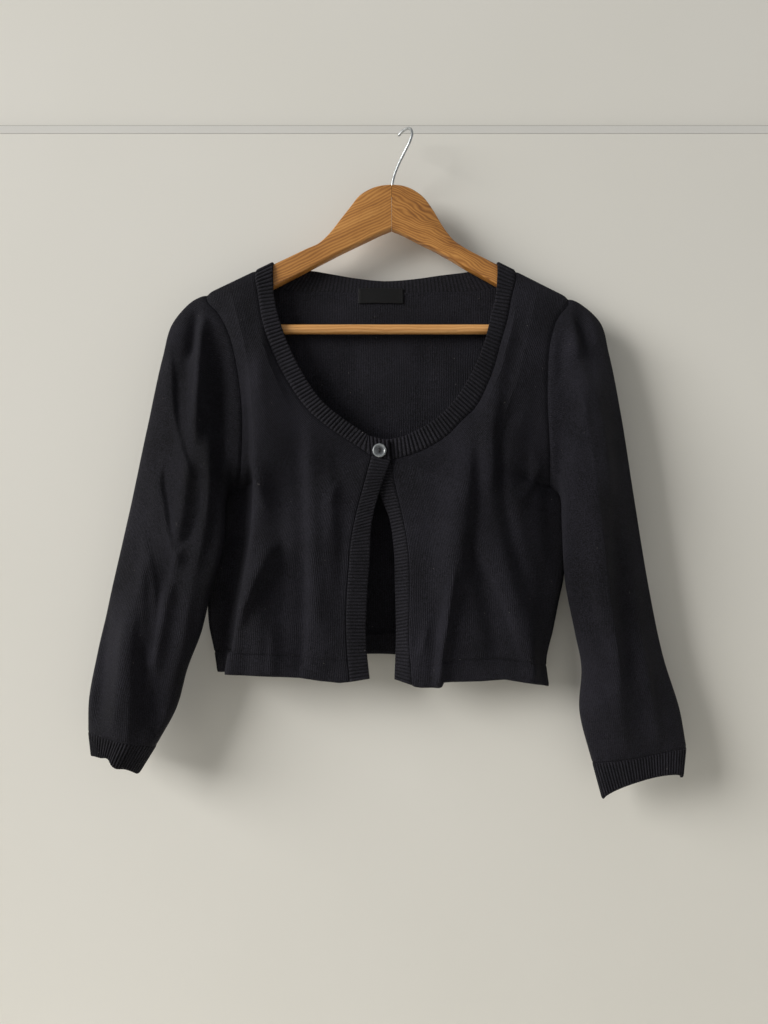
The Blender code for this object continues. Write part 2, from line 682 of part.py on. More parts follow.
def ribbed_strip(name, seam, seam_normals, free, pitch, closed=False):
    """Band or cuff: rows across it at every rib's crest and furrow outside, one row a rib inside.

    The seam edge keeps to the straight steps of the neighbouring piece's edge, with whole ribs between its
    points on a band; the free edge is a smooth line through its own points.
    """
    if closed:
        seam = np.vstack([seam, seam[:1]])
        seam_normals = np.vstack([seam_normals, seam_normals[:1]])
        free = np.vstack([free, free[:1]])
    run = lengths((seam + free) / 2)
    index = np.arange(len(seam))
    if closed:
        ribs = round(run[-1] / pitch)
        places = np.interp(np.linspace(0, run[-1], 2 * ribs + 1), run, index)
    else:
        counts = np.maximum(np.round(np.diff(run) / pitch), 1).astype(int)
        ribs = counts.sum()
        places = np.concatenate([i + np.arange(2 * n) / (2 * n) for i, n in enumerate(counts)] + [index[-1:]])
    near = polyline_at(seam, places)
    near_normals = unit(polyline_at(seam_normals, places))
    far = spline(np.arange(len(free)), free, places)
    if closed:
        far_along = np.roll(far[:-1], -1, axis=0) - np.roll(far[:-1], 1, axis=0)
        far_along = np.vstack([far_along, far_along[:1]])
    else:
        far_along = np.gradient(far, axis=0)
    near = near + SEAM_GAP / 2 * inward(near, near_normals, far)
    far_normals = unit(np.cross(far_along, far - near))
    far_normals *= np.sign(np.sum(far_normals * near_normals, axis=1, keepdims=True))
    crest = (np.arange(2 * ribs + 1) % 2)[:, None] * RIB_RISE
    half = RIB_KNIT / 2
    outer = [near + near_normals * (half + crest), far + far_normals * (half + crest)]
    inner = [near[::2] - near_normals[::2] * half, far[::2] - far_normals[::2] * half]
    if closed:
        outer = [line[:-1] for line in outer]
        inner = [line[:-1] for line in inner]
    points = np.vstack(outer + inner)
    many = len(outer[0])
    few = len(inner[0])
    faces = []
    for rib in range(ribs):
        a = [2 * rib, 2 * rib + 1, (2 * rib + 2) % many]
        b = [2 * many + rib, 2 * many + (rib + 1) % few]
        faces += [(a[0], a[1], a[1] + many, a[0] + many), (a[1], a[2], a[2] + many, a[1] + many)]
        faces.append((b[0], b[1], b[1] + few, b[0] + few))
        faces.append((a[0], a[1], a[2], b[1], b[0]))
        faces.append((a[0] + many, a[1] + many, a[2] + many, b[1] + few, b[0] + few))
    if not closed:
        faces.append((0, many, 2 * many + few, 2 * many))
        faces.append((many - 1, 2 * many - 1, 2 * many + 2 * few - 1, 2 * many + few - 1))
    return new_object(name, points, faces, "rib_knit")


def garment():
    """All cut pieces of the jacket. Returns the back's sheet, which the label follows."""
    table, arm = neck_table()
    last = len(table) - 1
    neck_rows = SIDE_ROWS + ARM_ROWS - BAND_ROWS - 2
    right_neck = neck_stretch(table, 1, arm["right"], neck_rows, ("end",))
    back_neck = neck_stretch(table, arm["right"], arm["left"], NECK_COLUMNS, ("start", "end"))
    left_neck = neck_stretch(table, arm["left"], last - 1, neck_rows, ("start",))
    sheets = {
        "right_front": front_sheet("right", right_neck[:, :3]),
        "left_front": front_sheet("left", left_neck[::-1, :3]),
        "back_panel": back_sheet(back_neck[:, :3]),
    }
    for side, column in (("right", 0), ("left", -1)):
        front_edge = sheets[side + "_front"][SIDE_ROWS:, -1]
        back_edge = sheets["back_panel"][SIDE_ROWS:, column]
        sheets[side + "_sleeve"] = sleeve_sheet(side, front_edge, back_edge)

    faces = {}
    normals = {}
    for name, sheet in sheets.items():
        rows, columns = sheet.shape[:2]
        notch = (rows - 3, SHOULDER_COLUMNS, columns - 1 - SHOULDER_COLUMNS) if name == "back_panel" else None
        faces[name] = cells(rows, columns, "sleeve" in name, notch)
        if "sleeve" in name:
            outward = sheet - sheet.mean(axis=1, keepdims=True)
        else:
            outward = np.array([0, -1 if "front" in name else 1, 0])
        normals[name] = sheet_normals(sheet, faces[name], outward)
    share_normals(sheets, normals)
    for side, column in (("right", 0), ("left", -1)):
        down = unit(np.array(UNDERARM_FACING[side]))
        normals[side + "_front"][SIDE_ROWS, -1] = down
        normals["back_panel"][SIDE_ROWS, column] = down
        normals[side + "_sleeve"][0, ARM_ROWS] = down
    for name in ("right_front", "left_front"):
        normals[name][-1] = even_normals(normals[name][-1])
    shoulder = SHOULDER_COLUMNS + 1
    normals["back_panel"][-1, :shoulder] = even_normals(normals["back_panel"][-1, :shoulder])
    normals["back_panel"][-1, -shoulder:] = even_normals(normals["back_panel"][-1, -shoulder:])

    rows = SIDE_ROWS + ARM_ROWS + 1
    hem = np.zeros((rows, 1, 1))
    hem[:2] = HEM_EXTRA
    for name in ("right_front", "left_front"):
        columns = sheets[name].shape[1]
        seams = [column_line(0, 1, range(rows)), column_line(columns - 1, -1, range(rows)),
                 row_line(rows - 1, -1, range(columns))]
        flat = trimmed(sheets[name], normals[name], seams)
        cloth_wall(name, flat, normals[name], faces[name], KNIT / 2, KNIT / 2 + hem)

    columns = sheets["back_panel"].shape[1]
    neck_cells, neck_neighbours = back_neck_cells(rows, columns)
    seams = [column_line(0, 1, range(rows)), column_line(columns - 1, -1, range(rows)),
             row_line(rows - 1, -1, range(shoulder)), row_line(rows - 1, -1, range(columns - shoulder, columns)),
             (neck_cells, neck_neighbours)]
    flat = trimmed(sheets["back_panel"], normals["back_panel"], seams)
    cloth_wall("back_panel", flat, normals["back_panel"], faces["back_panel"], KNIT / 2, KNIT / 2 + hem)

    for side in ("right", "left"):
        name = side + "_sleeve"
        ring = range(2 * ARM_ROWS)
        seams = [row_line(0, 1, ring), row_line(SLEEVE_ROWS, -1, ring)]
        tube = trimmed(sheets[name], normals[name], seams, closed=True)
        cloth_wall(name, tube, normals[name], faces[name], KNIT / 2, KNIT / 2)
        edge = cuff_ring(side, sheets[name])
        ribbed_strip(side + "_cuff", sheets[name][-1], normals[name][-1], edge, CUFF_RIB, closed=True)

        front = side + "_front"
        seam = np.delete(sheets[front][:BAND_ROWS + 1, 0], 2, axis=0)
        seam_normals = np.delete(normals[front][:BAND_ROWS + 1, 0], 2, axis=0)
        pairs = np.array(FRONT_BAND_LINE[side], float)
        line = spline(lengths(pairs), pairs, np.linspace(0, lengths(pairs)[-1], 600))
        free = at_lengths(line, lengths(seam) / lengths(seam)[-1] * lengths(line)[-1])[:, 3:]
        ribbed_strip(side + "_front_band", seam, seam_normals, free, FRONT_RIB)

    neck = np.vstack([table[:1], right_neck, back_neck[1:], left_neck[1:], table[-1:]])
    r, c = np.array(neck_cells[1:-1]).T
    neck_normals = np.vstack([
        normals["right_front"][BAND_ROWS:BAND_ROWS + 1, 0],
        normals["right_front"][BAND_ROWS:, 0],
        normals["back_panel"][r, c],
        normals["left_front"][BAND_ROWS:, 0][::-1],
        normals["left_front"][BAND_ROWS:BAND_ROWS + 1, 0],
    ])
    ribbed_strip("neck_band", neck[:, :3], neck_normals, neck[:, 3:], NECK_RIB)
    return sheets["back_panel"]


def back_neck_cells(rows, columns):
    """Cells along the back's neck seam, down behind one arm, across and up behind the other, and neighbours."""
    first = SHOULDER_COLUMNS
    last = columns - 1 - SHOULDER_COLUMNS
    line = [(rows - 1, first), (rows - 2, first), (rows - 3, first)]
    line += [(rows - 3, c) for c in range(first + 1, last)]
    line += [(rows - 3, last), (rows - 2, last), (rows - 1, last)]
    neighbours = [(rows - 1, first - 1), (rows - 2, first - 1), (rows - 4, first - 1)]
    neighbours += [(rows - 4, c) for c in range(first + 1, last)]
    neighbours += [(rows - 4, last + 1), (rows - 2, last + 1), (rows - 1, last + 1)]
    return line, neighbours


def label(back):
    """Woven label: a slip of satin on the back's inner side, made from the back's points moved forward."""
    x0, x1, z0, z1 = LABEL_BOX
    xs = np.linspace(x0, x1, 7)
    near = back[-6:, SHOULDER_COLUMNS:-SHOULDER_COLUMNS].reshape(-1, 3)
    sheet = np.zeros((3, len(xs), 3))
    for r, z in enumerate(np.linspace(z0, z1, 3)):
        for c, x in enumerate(xs):
            weights = 1 / (np.hypot(near[:, 0] - x, near[:, 2] - z)**2 + 25)
            y = np.sum(near[:, 1] * weights) / weights.sum()
            sheet[r, c] = (x, y, z)
    forward = KNIT / 2 + 0.6 + LABEL_THICKNESS / 2
    sheet[:, :, 1] = sheet[:, :, 1].min() - forward
    normals = np.broadcast_to(np.array([0.0, -1.0, 0.0]), sheet.shape)
    cloth_wall("neck_label", sheet, normals, cells(3, len(xs)), LABEL_THICKNESS / 2, LABEL_THICKNESS / 2,
               "label_satin")


def button():
    """Two-hole button: a turned disc with a raised rim, its face toward the viewer."""
    profile = [(0, 0), (7.2, 0), (8, 0.7), (8, 1.8), (7.4, 2.5), (6.5, 2.6), (5.8, 2.1), (5.2, 1.7), (0, 1.7)]
    turn = 24
    points = []
    for k in range(turn):
        angle = 2 * math.pi * k / turn
        for radius, depth in profile[1:-1]:
            points.append((radius * math.cos(angle), -depth, radius * math.sin(angle)))
    ring = len(profile) - 2
    points += [(0, 0, 0), (0, -profile[-1][1], 0)]
    faces = []
    for k in range(turn):
        a = k * ring
        b = (k + 1) % turn * ring
        faces += [(a + i, b + i, b + i + 1, a + i + 1) for i in range(ring - 1)]
        faces.append((a, b, turn * ring))
        faces.append((a + ring - 1, b + ring - 1, turn * ring + 1))
    points = np.array(points) * (BUTTON_RADIUS / 8) + np.array(BUTTON_CENTRE)
    disc = new_object("button", points, faces, "grey_button")
    for name, rise in (("button_hole_upper", 1), ("button_hole_lower", -1)):
        x, y, z = BUTTON_CENTRE
        centre = (x, y, z + rise * BUTTON_HOLE_APART / 2)
        bore(name, centre, (math.pi / 2, 0, 0), BUTTON_HOLE_RADIUS, 12, [disc], sides=12)


def bore(name, centre, rotation, radius, length, targets, sides=24):
    """Round cutter and its difference from each target."""
    bpy.ops.mesh.primitive_cylinder_add(vertices=sides, radius=radius * MM, depth=length * MM,
                                        location=[v * MM for v in centre], rotation=rotation)
    cutter = bpy.context.object
    cutter.name = name
    cutter.hide_render = True
    cutter.display_type = "WIRE"
    for collection in list(cutter.users_collection):
        collection.objects.unlink(cutter)
    CUTTERS.objects.link(cutter)
    for target in targets:
        cut = target.modifiers.new(name, "BOOLEAN")
        cut.operation = "DIFFERENCE"
        cut.solver = "EXACT"
        cut.object = cutter


def hanger_outline(side):
    """Outline of one half of the hanger in the front view: over the top, round the end lug, back below."""
    table = np.array(HANGER_ROWS, float)
    sign = -1 if side == "right" else 1
    top, under = (1, 2) if side == "right" else (3, 4)
    end = HANGER_END[side]
    away = np.concatenate([np.linspace(0, 108, 13), [132, 164, 196]])
    upper = spline(table[:, 0], table[:, top:top + 1], away)[:, 0]
    line = arm_top(side, JOINT_X + sign * away)
    upper = np.where(away >= 108, line, np.minimum(upper, np.where(away > 80, line, 0)))
    end_top = arm_top(side, JOINT_X + sign * (end - 5))
    lower = spline(table[:, 0], table[:, under:under + 1], away[::2])[:, 0]
    rows = list(zip(away, upper)) + [(end - 5, end_top), (end - 1, end_top - 4), (end, end_top - 10)]
    rows += [(end, HANGER_LUG_Z + 8), (end - 3, HANGER_LUG_Z + 2), (end - 8, HANGER_LUG_Z)]
    rows += [(end - HANGER_LUG + 4, HANGER_LUG_Z), (end - HANGER_LUG, HANGER_LUG_Z + 4)]
    rows += [(end - HANGER_LUG, np.interp(end - HANGER_LUG, table[:, 0], table[:, under]) - 0.5)]
    rows += list(zip(away[::2], lower))[::-1]
    rows = np.array(rows, float)
    rows[:, 0] = np.where(rows[:, 0] == 0, JOINT_GAP / 2, rows[:, 0])
    return np.stack([JOINT_X + sign * rows[:, 0], rows[:, 1]], axis=1)


def hanger():
    """Two mitred halves with bored end lugs, the bar between them, and the wire hook."""
    halves = []
    for side in ("right", "left"):
        outline = hanger_outline(side)
        count = len(outline)
        front = np.stack([outline[:, 0], np.full(count, -BOARD / 2), outline[:, 1]], axis=1)
        behind = front + np.array([0, BOARD, 0])
        faces = [tuple(range(count)), tuple(range(2 * count - 1, count - 1, -1))]
        faces += [(i, (i + 1) % count, (i + 1) % count + count, i + count) for i in range(count)]
        half = new_object("hanger_half_" + side, np.vstack([front, behind]), faces, "oiled_wood")
        rounding = half.modifiers.new("edges", "BEVEL")
        rounding.width = BOARD_ROUNDING * MM
        rounding.segments = 1
        rounding.use_clamp_overlap = False
        rounding.limit_method = "ANGLE"
        rounding.angle_limit = math.radians(50)
        halves.append(half)

    ends = [JOINT_X - HANGER_END["right"] + HANGER_LUG, JOINT_X + HANGER_END["left"] - HANGER_LUG]
    for name, x, half in (("bar_bore_right", ends[0], halves[0]), ("bar_bore_left", ends[1], halves[1])):
        bore(name, (x, 0, BAR_HEIGHT), (0, math.pi / 2, 0), TENON_RADIUS + BORE_CLEARANCE,
             2 * TENON_LENGTH + 1, [half], sides=16)
    bore("hook_bore", (HOOK_BASE[0], 0, HOOK_BASE[1] - HOOK_BURIED / 2 + 5), (0, 0, 0),
         WIRE_RADIUS + BORE_CLEARANCE, HOOK_BURIED + 11, halves, sides=12)

    shoulders = [ends[0] + BORE_CLEARANCE, ends[1] - BORE_CLEARANCE]
    tips = [shoulders[0] - TENON_LENGTH, shoulders[1] + TENON_LENGTH]
    profile = [(tips[0], TENON_RADIUS), (shoulders[0], TENON_RADIUS), (shoulders[0], BAR_RADIUS),
               (shoulders[1], BAR_RADIUS), (shoulders[1], TENON_RADIUS), (tips[1], TENON_RADIUS)]
    turn = 16
    points = [(x, r * math.cos(2 * math.pi * k / turn), BAR_HEIGHT + r * math.sin(2 * math.pi * k / turn))
              for x, r in profile for k in range(turn)]
    faces = cells(len(profile), turn, True)
    faces += [tuple(range(turn)), tuple(range(len(profile) * turn - 1, (len(profile) - 1) * turn - 1, -1))]
    new_object("hanger_bar", points, faces, "pale_wood")


def hook():
    """Wire hook: a stem leaning right that opens into three quarters of a ring, turned from the hanger."""
    arc = [(21 * math.cos(math.radians(a)), 48.7 + 21 * math.sin(math.radians(a))) for a in range(15, 136, 15)]
    shape = [(0, -HOOK_BURIED), (0, 0), (0.5, 11), (4, 21), (11.5, 34), (18.5, 45)] + arc
    line = fine_line([(u, v, 0) for u, v in shape])
    line = at_lengths(line, np.linspace(0, lengths(line)[-1], 34))
    curve = bpy.data.curves.new("hanger_hook", "CURVE")
    curve.dimensions = "3D"
    curve.bevel_depth = WIRE_RADIUS * MM
    curve.bevel_resolution = 2
    curve.use_fill_caps = True
    wire = curve.splines.new("POLY")
    wire.points.add(len(line) - 1)
    for point, (u, v, _) in zip(wire.points, line):
        x = HOOK_BASE[0] + HOOK_LEAN * max(v, 0) + u * math.cos(HOOK_TURN)
        point.co = (x * MM, -u * math.sin(HOOK_TURN) * MM, (HOOK_BASE[1] + v) * MM, 1)
    add_object("hanger_hook", curve, "zinc_wire")


for old in list(bpy.data.objects):
    bpy.data.objects.remove(old)
PARTS = bpy.data.collections.new("bolero_jacket")
CUTTERS = bpy.data.collections.new("cutters")
bpy.context.scene.collection.children.link(PARTS)
bpy.context.scene.collection.children.link(CUTTERS)

cloth = garment()
label(cloth)
button()
hanger()
hook()
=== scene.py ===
"""Black knitted bolero jacket with tucked sleeve heads, hanging on a wooden coat hanger against a pale wall.

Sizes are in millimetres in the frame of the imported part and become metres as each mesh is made: X to the
viewer's right, Y away from the viewer, Z up, and the origin inside the top of the hook. Left and right are
the wearer's. Every cloth piece is a surface of two parameters, worked out between the garment's seam lines.
"""
import math

import bmesh
import bpy
import numpy as np
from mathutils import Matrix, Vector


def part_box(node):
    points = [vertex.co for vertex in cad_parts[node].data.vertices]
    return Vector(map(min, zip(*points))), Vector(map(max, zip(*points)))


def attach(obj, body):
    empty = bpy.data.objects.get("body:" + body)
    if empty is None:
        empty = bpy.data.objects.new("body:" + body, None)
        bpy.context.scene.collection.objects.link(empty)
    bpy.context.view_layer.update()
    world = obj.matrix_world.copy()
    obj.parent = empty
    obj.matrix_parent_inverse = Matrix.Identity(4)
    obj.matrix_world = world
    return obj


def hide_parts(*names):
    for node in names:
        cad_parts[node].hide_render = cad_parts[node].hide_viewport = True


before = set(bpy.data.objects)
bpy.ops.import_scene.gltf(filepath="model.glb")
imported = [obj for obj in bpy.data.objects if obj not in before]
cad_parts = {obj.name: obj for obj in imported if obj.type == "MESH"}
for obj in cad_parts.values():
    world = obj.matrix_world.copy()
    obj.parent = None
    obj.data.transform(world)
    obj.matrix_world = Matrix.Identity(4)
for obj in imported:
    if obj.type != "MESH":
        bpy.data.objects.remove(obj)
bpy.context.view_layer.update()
MM = 0.001


# Hanger halves. Two boards of lacquered hardwood, mitred together in the middle, each with a bored lug at its
# end for the bar. Sawn from plank, so the grain runs along each arm; edges rounded over and clear lacquered.
BOARD = 12.0
BOARD_ROUNDING = 2.6
END_ROUNDING = 5.0
JOINT_X = -15.5
# Where a board's curved top starts to pass into its straight arm, and how far it takes
ARM_START = 82.0
ARM_PASSAGE = 24.0
ARM_TURN = math.radians(27.0)
# Top of each arm: its height at X = 0, and its slope
ARM_LINE = {"right": (-94.0, 0.5), "left": (-114.4, -0.525)}
# Distance from the joint, then top and underside of the right board, and of the left
HANGER_ROWS = [
    (0, -71.5, -128, -71.5, -128),
    (14, -73, -134, -73, -134),
    (28, -78, -141, -79, -141.5),
    (41, -87.5, -147.5, -90, -148.5),
    (51, -101, -152.5, -105, -153.5),
    (63, -117, -158.5, -126, -160.5),
    (74, -132, -164.5, -141, -167),
    (88, -146, -172, -151.5, -176),
    (108, -156.5, -183, -162.7, -187.5),
    (164, -183.7, -213, -192, -220),
    (205, -204.2, -236, -213.5, -244),
]
HANGER_END = {"right": 226.0, "left": 218.0}
HANGER_LUG = 20.0
HANGER_LUG_Z = -263.0
LUG_FILLET = 4.0


def spline(knots, values, at):
    """Values of the smooth curve through the knots; a knot's slope comes from both its neighbours."""
    knots = np.asarray(knots, float)
    values = np.asarray(values, float)
    at = np.asarray(at, float)
    steps = np.diff(knots)
    slopes = np.diff(values, axis=0) / steps[:, None]
    tangents = np.vstack([slopes[:1], slopes])
    weight = steps[1:, None] / (steps[:-1] + steps[1:])[:, None]
    tangents[1:-1] = slopes[:-1] * weight + slopes[1:] * (1 - weight)
    k = np.clip(np.searchsorted(knots, at, side="right") - 1, 0, len(steps) - 1)
    w = ((at - knots[k]) / steps[k])[:, None]
    span = steps[k][:, None]
    return (values[k] * (2 * w**3 - 3 * w**2 + 1) + tangents[k] * span * (w**3 - 2 * w**2 + w)
            + values[k + 1] * (3 * w**2 - 2 * w**3) + tangents[k + 1] * span * (w**3 - w**2))


def smooth_step(value):
    """0 below 0, 1 above 1, and a soft passage between."""
    value = np.clip(value, 0, 1)
    return value * value * (3 - 2 * value)


def grid_faces(rows, columns, closed=False):
    """Quads of a grid of points numbered row by row; a closed grid joins its last column to its first."""
    r = np.arange(rows - 1)[:, None] * columns
    c = np.arange(columns if closed else columns - 1)[None]
    d = (c + 1) % columns
    return np.stack([r + c, r + d, r + columns + d, r + columns + c], axis=-1).reshape(-1, 4)


def capped_faces(rows, columns):
    """Faces of a closed grid, with one more over each end."""
    ends = [list(range(columns)), list(range(rows * columns - 1, (rows - 1) * columns - 1, -1))]
    return grid_faces(rows, columns, True).tolist() + ends


# Millimetres in one unit of a cloth's UV map
UV_UNIT = 100


def add_piece(name, points, faces, uv=None, smooth=True):
    """Mesh object from points in mm and faces, with a UV, also in mm, where one is given."""
    mesh = bpy.data.meshes.new(name)
    mesh.from_pydata((np.asarray(points) * MM).tolist(), [], [list(map(int, f)) for f in faces])
    if uv is not None:
        layer = mesh.uv_layers.new(name="cloth")
        corner = np.empty(len(mesh.loops), int)
        mesh.loops.foreach_get("vertex_index", corner)
        layer.data.foreach_set("uv", (np.asarray(uv)[corner] / UV_UNIT).ravel().astype(np.float32))
    mesh.polygons.foreach_set("use_smooth", [smooth] * len(mesh.polygons))
    mesh.update()
    piece = bpy.data.objects.new(name, mesh)
    bpy.context.scene.collection.objects.link(piece)
    return piece


def colour(hex_value):
    """Linear colour of an sRGB hex value."""
    parts = np.array([int(hex_value[i:i + 2], 16) / 255 for i in (1, 3, 5)])
    linear = np.where(parts <= 0.04045, parts / 12.92, ((parts + 0.055) / 1.055)**2.4)
    return (*linear, 1.0)


def set_inputs(tree, node, links):
    """Sets a node's inputs: each to a value, or to an output that is linked to it."""
    for key, value in dict(links).items():
        if isinstance(value, bpy.types.NodeSocket):
            tree.links.new(value, node.inputs[key])
        else:
            node.inputs[key].default_value = value


def add_node(tree, kind, settings=(), links=()):
    """Adds a node with its own settings and its inputs."""
    node = tree.nodes.new("ShaderNode" + kind)
    for key, value in dict(settings).items():
        setattr(node, key, value)
    set_inputs(tree, node, links)
    return node


TIMES = {"operation": "MULTIPLY"}
TIMES_PLUS = {"operation": "MULTIPLY_ADD"}


def new_material(name):
    """Empty material with a Principled shader: returns material, node tree and shader."""
    made = bpy.data.materials.new(name)
    made.use_nodes = True
    return made, made.node_tree, made.node_tree.nodes["Principled BSDF"]


def colour_ramp(tree, factor, stops):
    """Colour ramp with the given places and sRGB colours."""
    ramp = add_node(tree, "ValToRGB", links={"Fac": factor})
    while len(ramp.color_ramp.elements) < len(stops):
        ramp.color_ramp.elements.new(0.5)
    for element, (place, shade) in zip(ramp.color_ramp.elements, stops):
        element.position = place
        element.color = colour(shade)
    return ramp.outputs["Color"]


def lacquered_wood(name, turn, shades, knots):
    """Clear-lacquered hardwood: rings cut along an arm show as long wavering lines with short pores."""
    made, tree, shader = new_material(name)
    place = add_node(tree, "TexCoord").outputs["Object"]
    along = add_node(tree, "Mapping", links={"Vector": place, "Rotation": (0, turn, 0)}).outputs[0]
    long_way = add_node(tree, "Mapping", links={"Vector": along, "Scale": (7, 60, 95)}).outputs[0]
    slow = add_node(tree, "Mapping", links={"Vector": along, "Scale": (14, 30, 30)}).outputs[0]
    bend = add_node(tree, "TexNoise", links={"Vector": slow, "Scale": 1.0, "Detail": 2.0}).outputs["Color"]
    bent = add_node(tree, "VectorMath", TIMES_PLUS,
                    {0: bend, 1: (knots, knots, knots), 2: long_way}).outputs[0]
    rings = add_node(tree, "TexWave", {"wave_type": "BANDS", "bands_direction": "Z", "wave_profile": "SIN"},
                     {"Vector": bent, "Scale": 0.95, "Distortion": 3.0, "Detail": 3.0, "Detail Scale": 0.9})
    tone = add_node(tree, "TexNoise", links={"Vector": bent, "Scale": 0.6, "Detail": 5.0, "Roughness": 0.6})
    mixed = add_node(tree, "Math", TIMES_PLUS,
                     {0: rings.outputs["Fac"], 1: 0.28, 2: tone.outputs["Fac"]}).outputs[0]
    base = colour_ramp(tree, mixed, list(zip((0.38, 0.58, 0.72, 0.92), shades)))
    fine = add_node(tree, "Mapping", links={"Vector": along, "Scale": (90, 900, 1400)}).outputs[0]
    pores = add_node(tree, "TexNoise", links={"Vector": fine, "Scale": 1.0, "Detail": 2.0}).outputs["Fac"]
    dark = add_node(tree, "Math", {"operation": "GREATER_THAN"}, {0: pores, 1: 0.66}).outputs[0]
    part = add_node(tree, "Math", TIMES, {0: dark, 1: 0.35}).outputs[0]
    shade = add_node(tree, "Mix", {"data_type": "RGBA", "blend_type": "MULTIPLY"},
                     {"Factor": part, 6: base, 7: colour("#7d5226")}).outputs[2]
    bump = add_node(tree, "Bump", links={"Height": mixed, "Strength": 0.12, "Distance": 0.0004}).outputs[0]
    set_inputs(tree, shader, {"Base Color": shade, "Normal": bump, "Roughness": 0.42,
                              "Coat Weight": 0.25, "Coat Roughness": 0.25})
    return made


def rounded_section(low, high, half, rounding, steps=4):
    """Closed sections in Y and Z, one for each low and high: rectangles whose corners are quarter circles."""
    angle = np.linspace(0, np.pi / 2, steps + 1)
    corners = []
    for k, (sy, sz) in enumerate(((1, 1), (-1, 1), (-1, -1), (1, -1))):
        turn = angle + k * np.pi / 2
        y = sy * (half - rounding)[:, None] + rounding * np.cos(turn)
        z = (high - rounding if sz > 0 else low + rounding)[:, None] + rounding * np.sin(turn)
        corners.append(np.stack([y, z], axis=-1))
    return np.concatenate(corners, axis=1)


def hanger_half(side):
    """Sections across one board from the joint to the end; the lug is where the underside drops."""
    table = np.array(HANGER_ROWS, float)
    sign = -1 if side == "right" else 1
    top, under = (1, 2) if side == "right" else (3, 4)
    end = HANGER_END[side]
    lug = end - HANGER_LUG
    height, slope = ARM_LINE[side]
    away = np.concatenate([[0.15, 0.5], np.linspace(1, 108, 60), np.linspace(110, lug - 1, 34),
                           lug + np.array([-0.2, 0.2, 1, 2.5, 5, 8, 12, 15])])
    rounded = end - END_ROUNDING + END_ROUNDING * np.sin(np.radians([18, 36, 52, 66, 78, 87]))
    away = np.concatenate([away, rounded])
    x = JOINT_X + sign * away
    near = np.minimum(away, table[-1, 0])
    high = spline(table[:, 0], table[:, top:top + 1], near)[:, 0]
    arm = height + slope * x
    into_arm = smooth_step((away - ARM_START) / ARM_PASSAGE)
    high = high * (1 - into_arm) + arm * into_arm
    low = spline(table[:, 0], table[:, under:under + 1], near)[:, 0]
    drop = np.clip((away - lug) / LUG_FILLET, 0, 1)
    low = np.where(away > lug, HANGER_LUG_Z + LUG_FILLET * (1 - np.sqrt(1 - (1 - drop)**2)), low)
    bend = np.clip((away - (end - END_ROUNDING)) / END_ROUNDING, 0, 1)
    shrink = END_ROUNDING * (1 - np.sqrt(1 - bend**2))
    section = rounded_section(low + 1.4 * shrink, high - 1.4 * shrink, BOARD / 2 - 0.5 * shrink,
                              BOARD_ROUNDING)
    points = np.concatenate([np.broadcast_to(x[:, None, None], section.shape[:2] + (1,)), section], axis=2)
    return points.reshape(-1, 3), capped_faces(*section.shape[:2])


def face_out(piece):
    """Turns a closed mesh's faces outward."""
    work = bmesh.new()
    work.from_mesh(piece.data)
    bmesh.ops.recalc_face_normals(work, faces=work.faces[:])
    if work.calc_volume(signed=True) < 0:
        bmesh.ops.reverse_faces(work, faces=work.faces[:])
    work.to_mesh(piece.data)
    work.free()


def dress(piece, material, node=None):
    """Gives a piece its material, its body, the node that it stands for, if any."""
    piece.data.materials.append(material)
    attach(piece, "root")
    if node:
        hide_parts(node)


WOOD = {
    "right": lacquered_wood("lacquered_wood_right", ARM_TURN,
                            ("#8c5a28", "#a87134", "#b98040", "#c8914f"), 1.2),
    "left": lacquered_wood("lacquered_wood_left", -ARM_TURN,
                           ("#7f4f22", "#a06a2f", "#b67d3c", "#c78f4c"), 3.4),
}
for side in ("right", "left"):
    board = add_piece("board_" + side, *hanger_half(side))
    face_out(board)
    board.data.set_sharp_from_angle(angle=math.radians(60))
    dress(board, WOOD[side], "hanger_half_" + side)


# Bar. A turned dowel of pale wood between the lugs; its tenons are glued into the bores.
BAR_HEIGHT = -253.0
BAR_RADIUS = 5.9
BAR_PLAY = 0.3
BAR_CHAMFER = 0.6
TENON_RADIUS = 3.5
TENON_LENGTH = 9.0


def lathe(profile, sides):
    """Points and faces of a profile of places and radii turned about the X axis; its ends are closed."""
    place, radius = np.array(profile, float).T[:, :, None]
    turn = 2 * np.pi * np.arange(sides) / sides
    ring = np.broadcast_arrays(place, radius * np.cos(turn), radius * np.sin(turn))
    return np.stack(ring, axis=-1).reshape(-1, 3), capped_faces(len(profile), sides)


low = JOINT_X - HANGER_END["right"] + HANGER_LUG + BAR_PLAY
high = JOINT_X + HANGER_END["left"] - HANGER_LUG - BAR_PLAY
profile = [(low - TENON_LENGTH, TENON_RADIUS), (low, TENON_RADIUS), (low, BAR_RADIUS - BAR_CHAMFER)]
profile += [(low + BAR_CHAMFER, BAR_RADIUS)]
profile += [(x, BAR_RADIUS) for x in np.linspace(low + 5, high - 5, 40)]
profile += [(high - BAR_CHAMFER, BAR_RADIUS), (high, BAR_RADIUS - BAR_CHAMFER)]
profile += [(high, TENON_RADIUS), (high + TENON_LENGTH, TENON_RADIUS)]
points, faces = lathe(profile, 32)
bar = add_piece("bar", points + np.array([0, 0, BAR_HEIGHT]), faces)
face_out(bar)
bar.data.set_sharp_from_angle(angle=math.radians(40))
DOWEL = lacquered_wood("pale_dowel", 0.0, ("#bb8143", "#c98f50", "#d79f60", "#e0ab6c"), 0.8)
dress(bar, DOWEL, "hanger_bar")


# Hook. Zinc-plated steel wire, bent cold and driven into the joint of the two halves.
WIRE_RADIUS = 1.75
HOOK_BASE = (-14.4, -68.0)
HOOK_TURN = math.radians(52.0)
HOOK_LEAN = 0.207
# Radius of the hook's bend, and height of its centre above the base
HOOK_BEND = 21.0
HOOK_RISE = 48.7
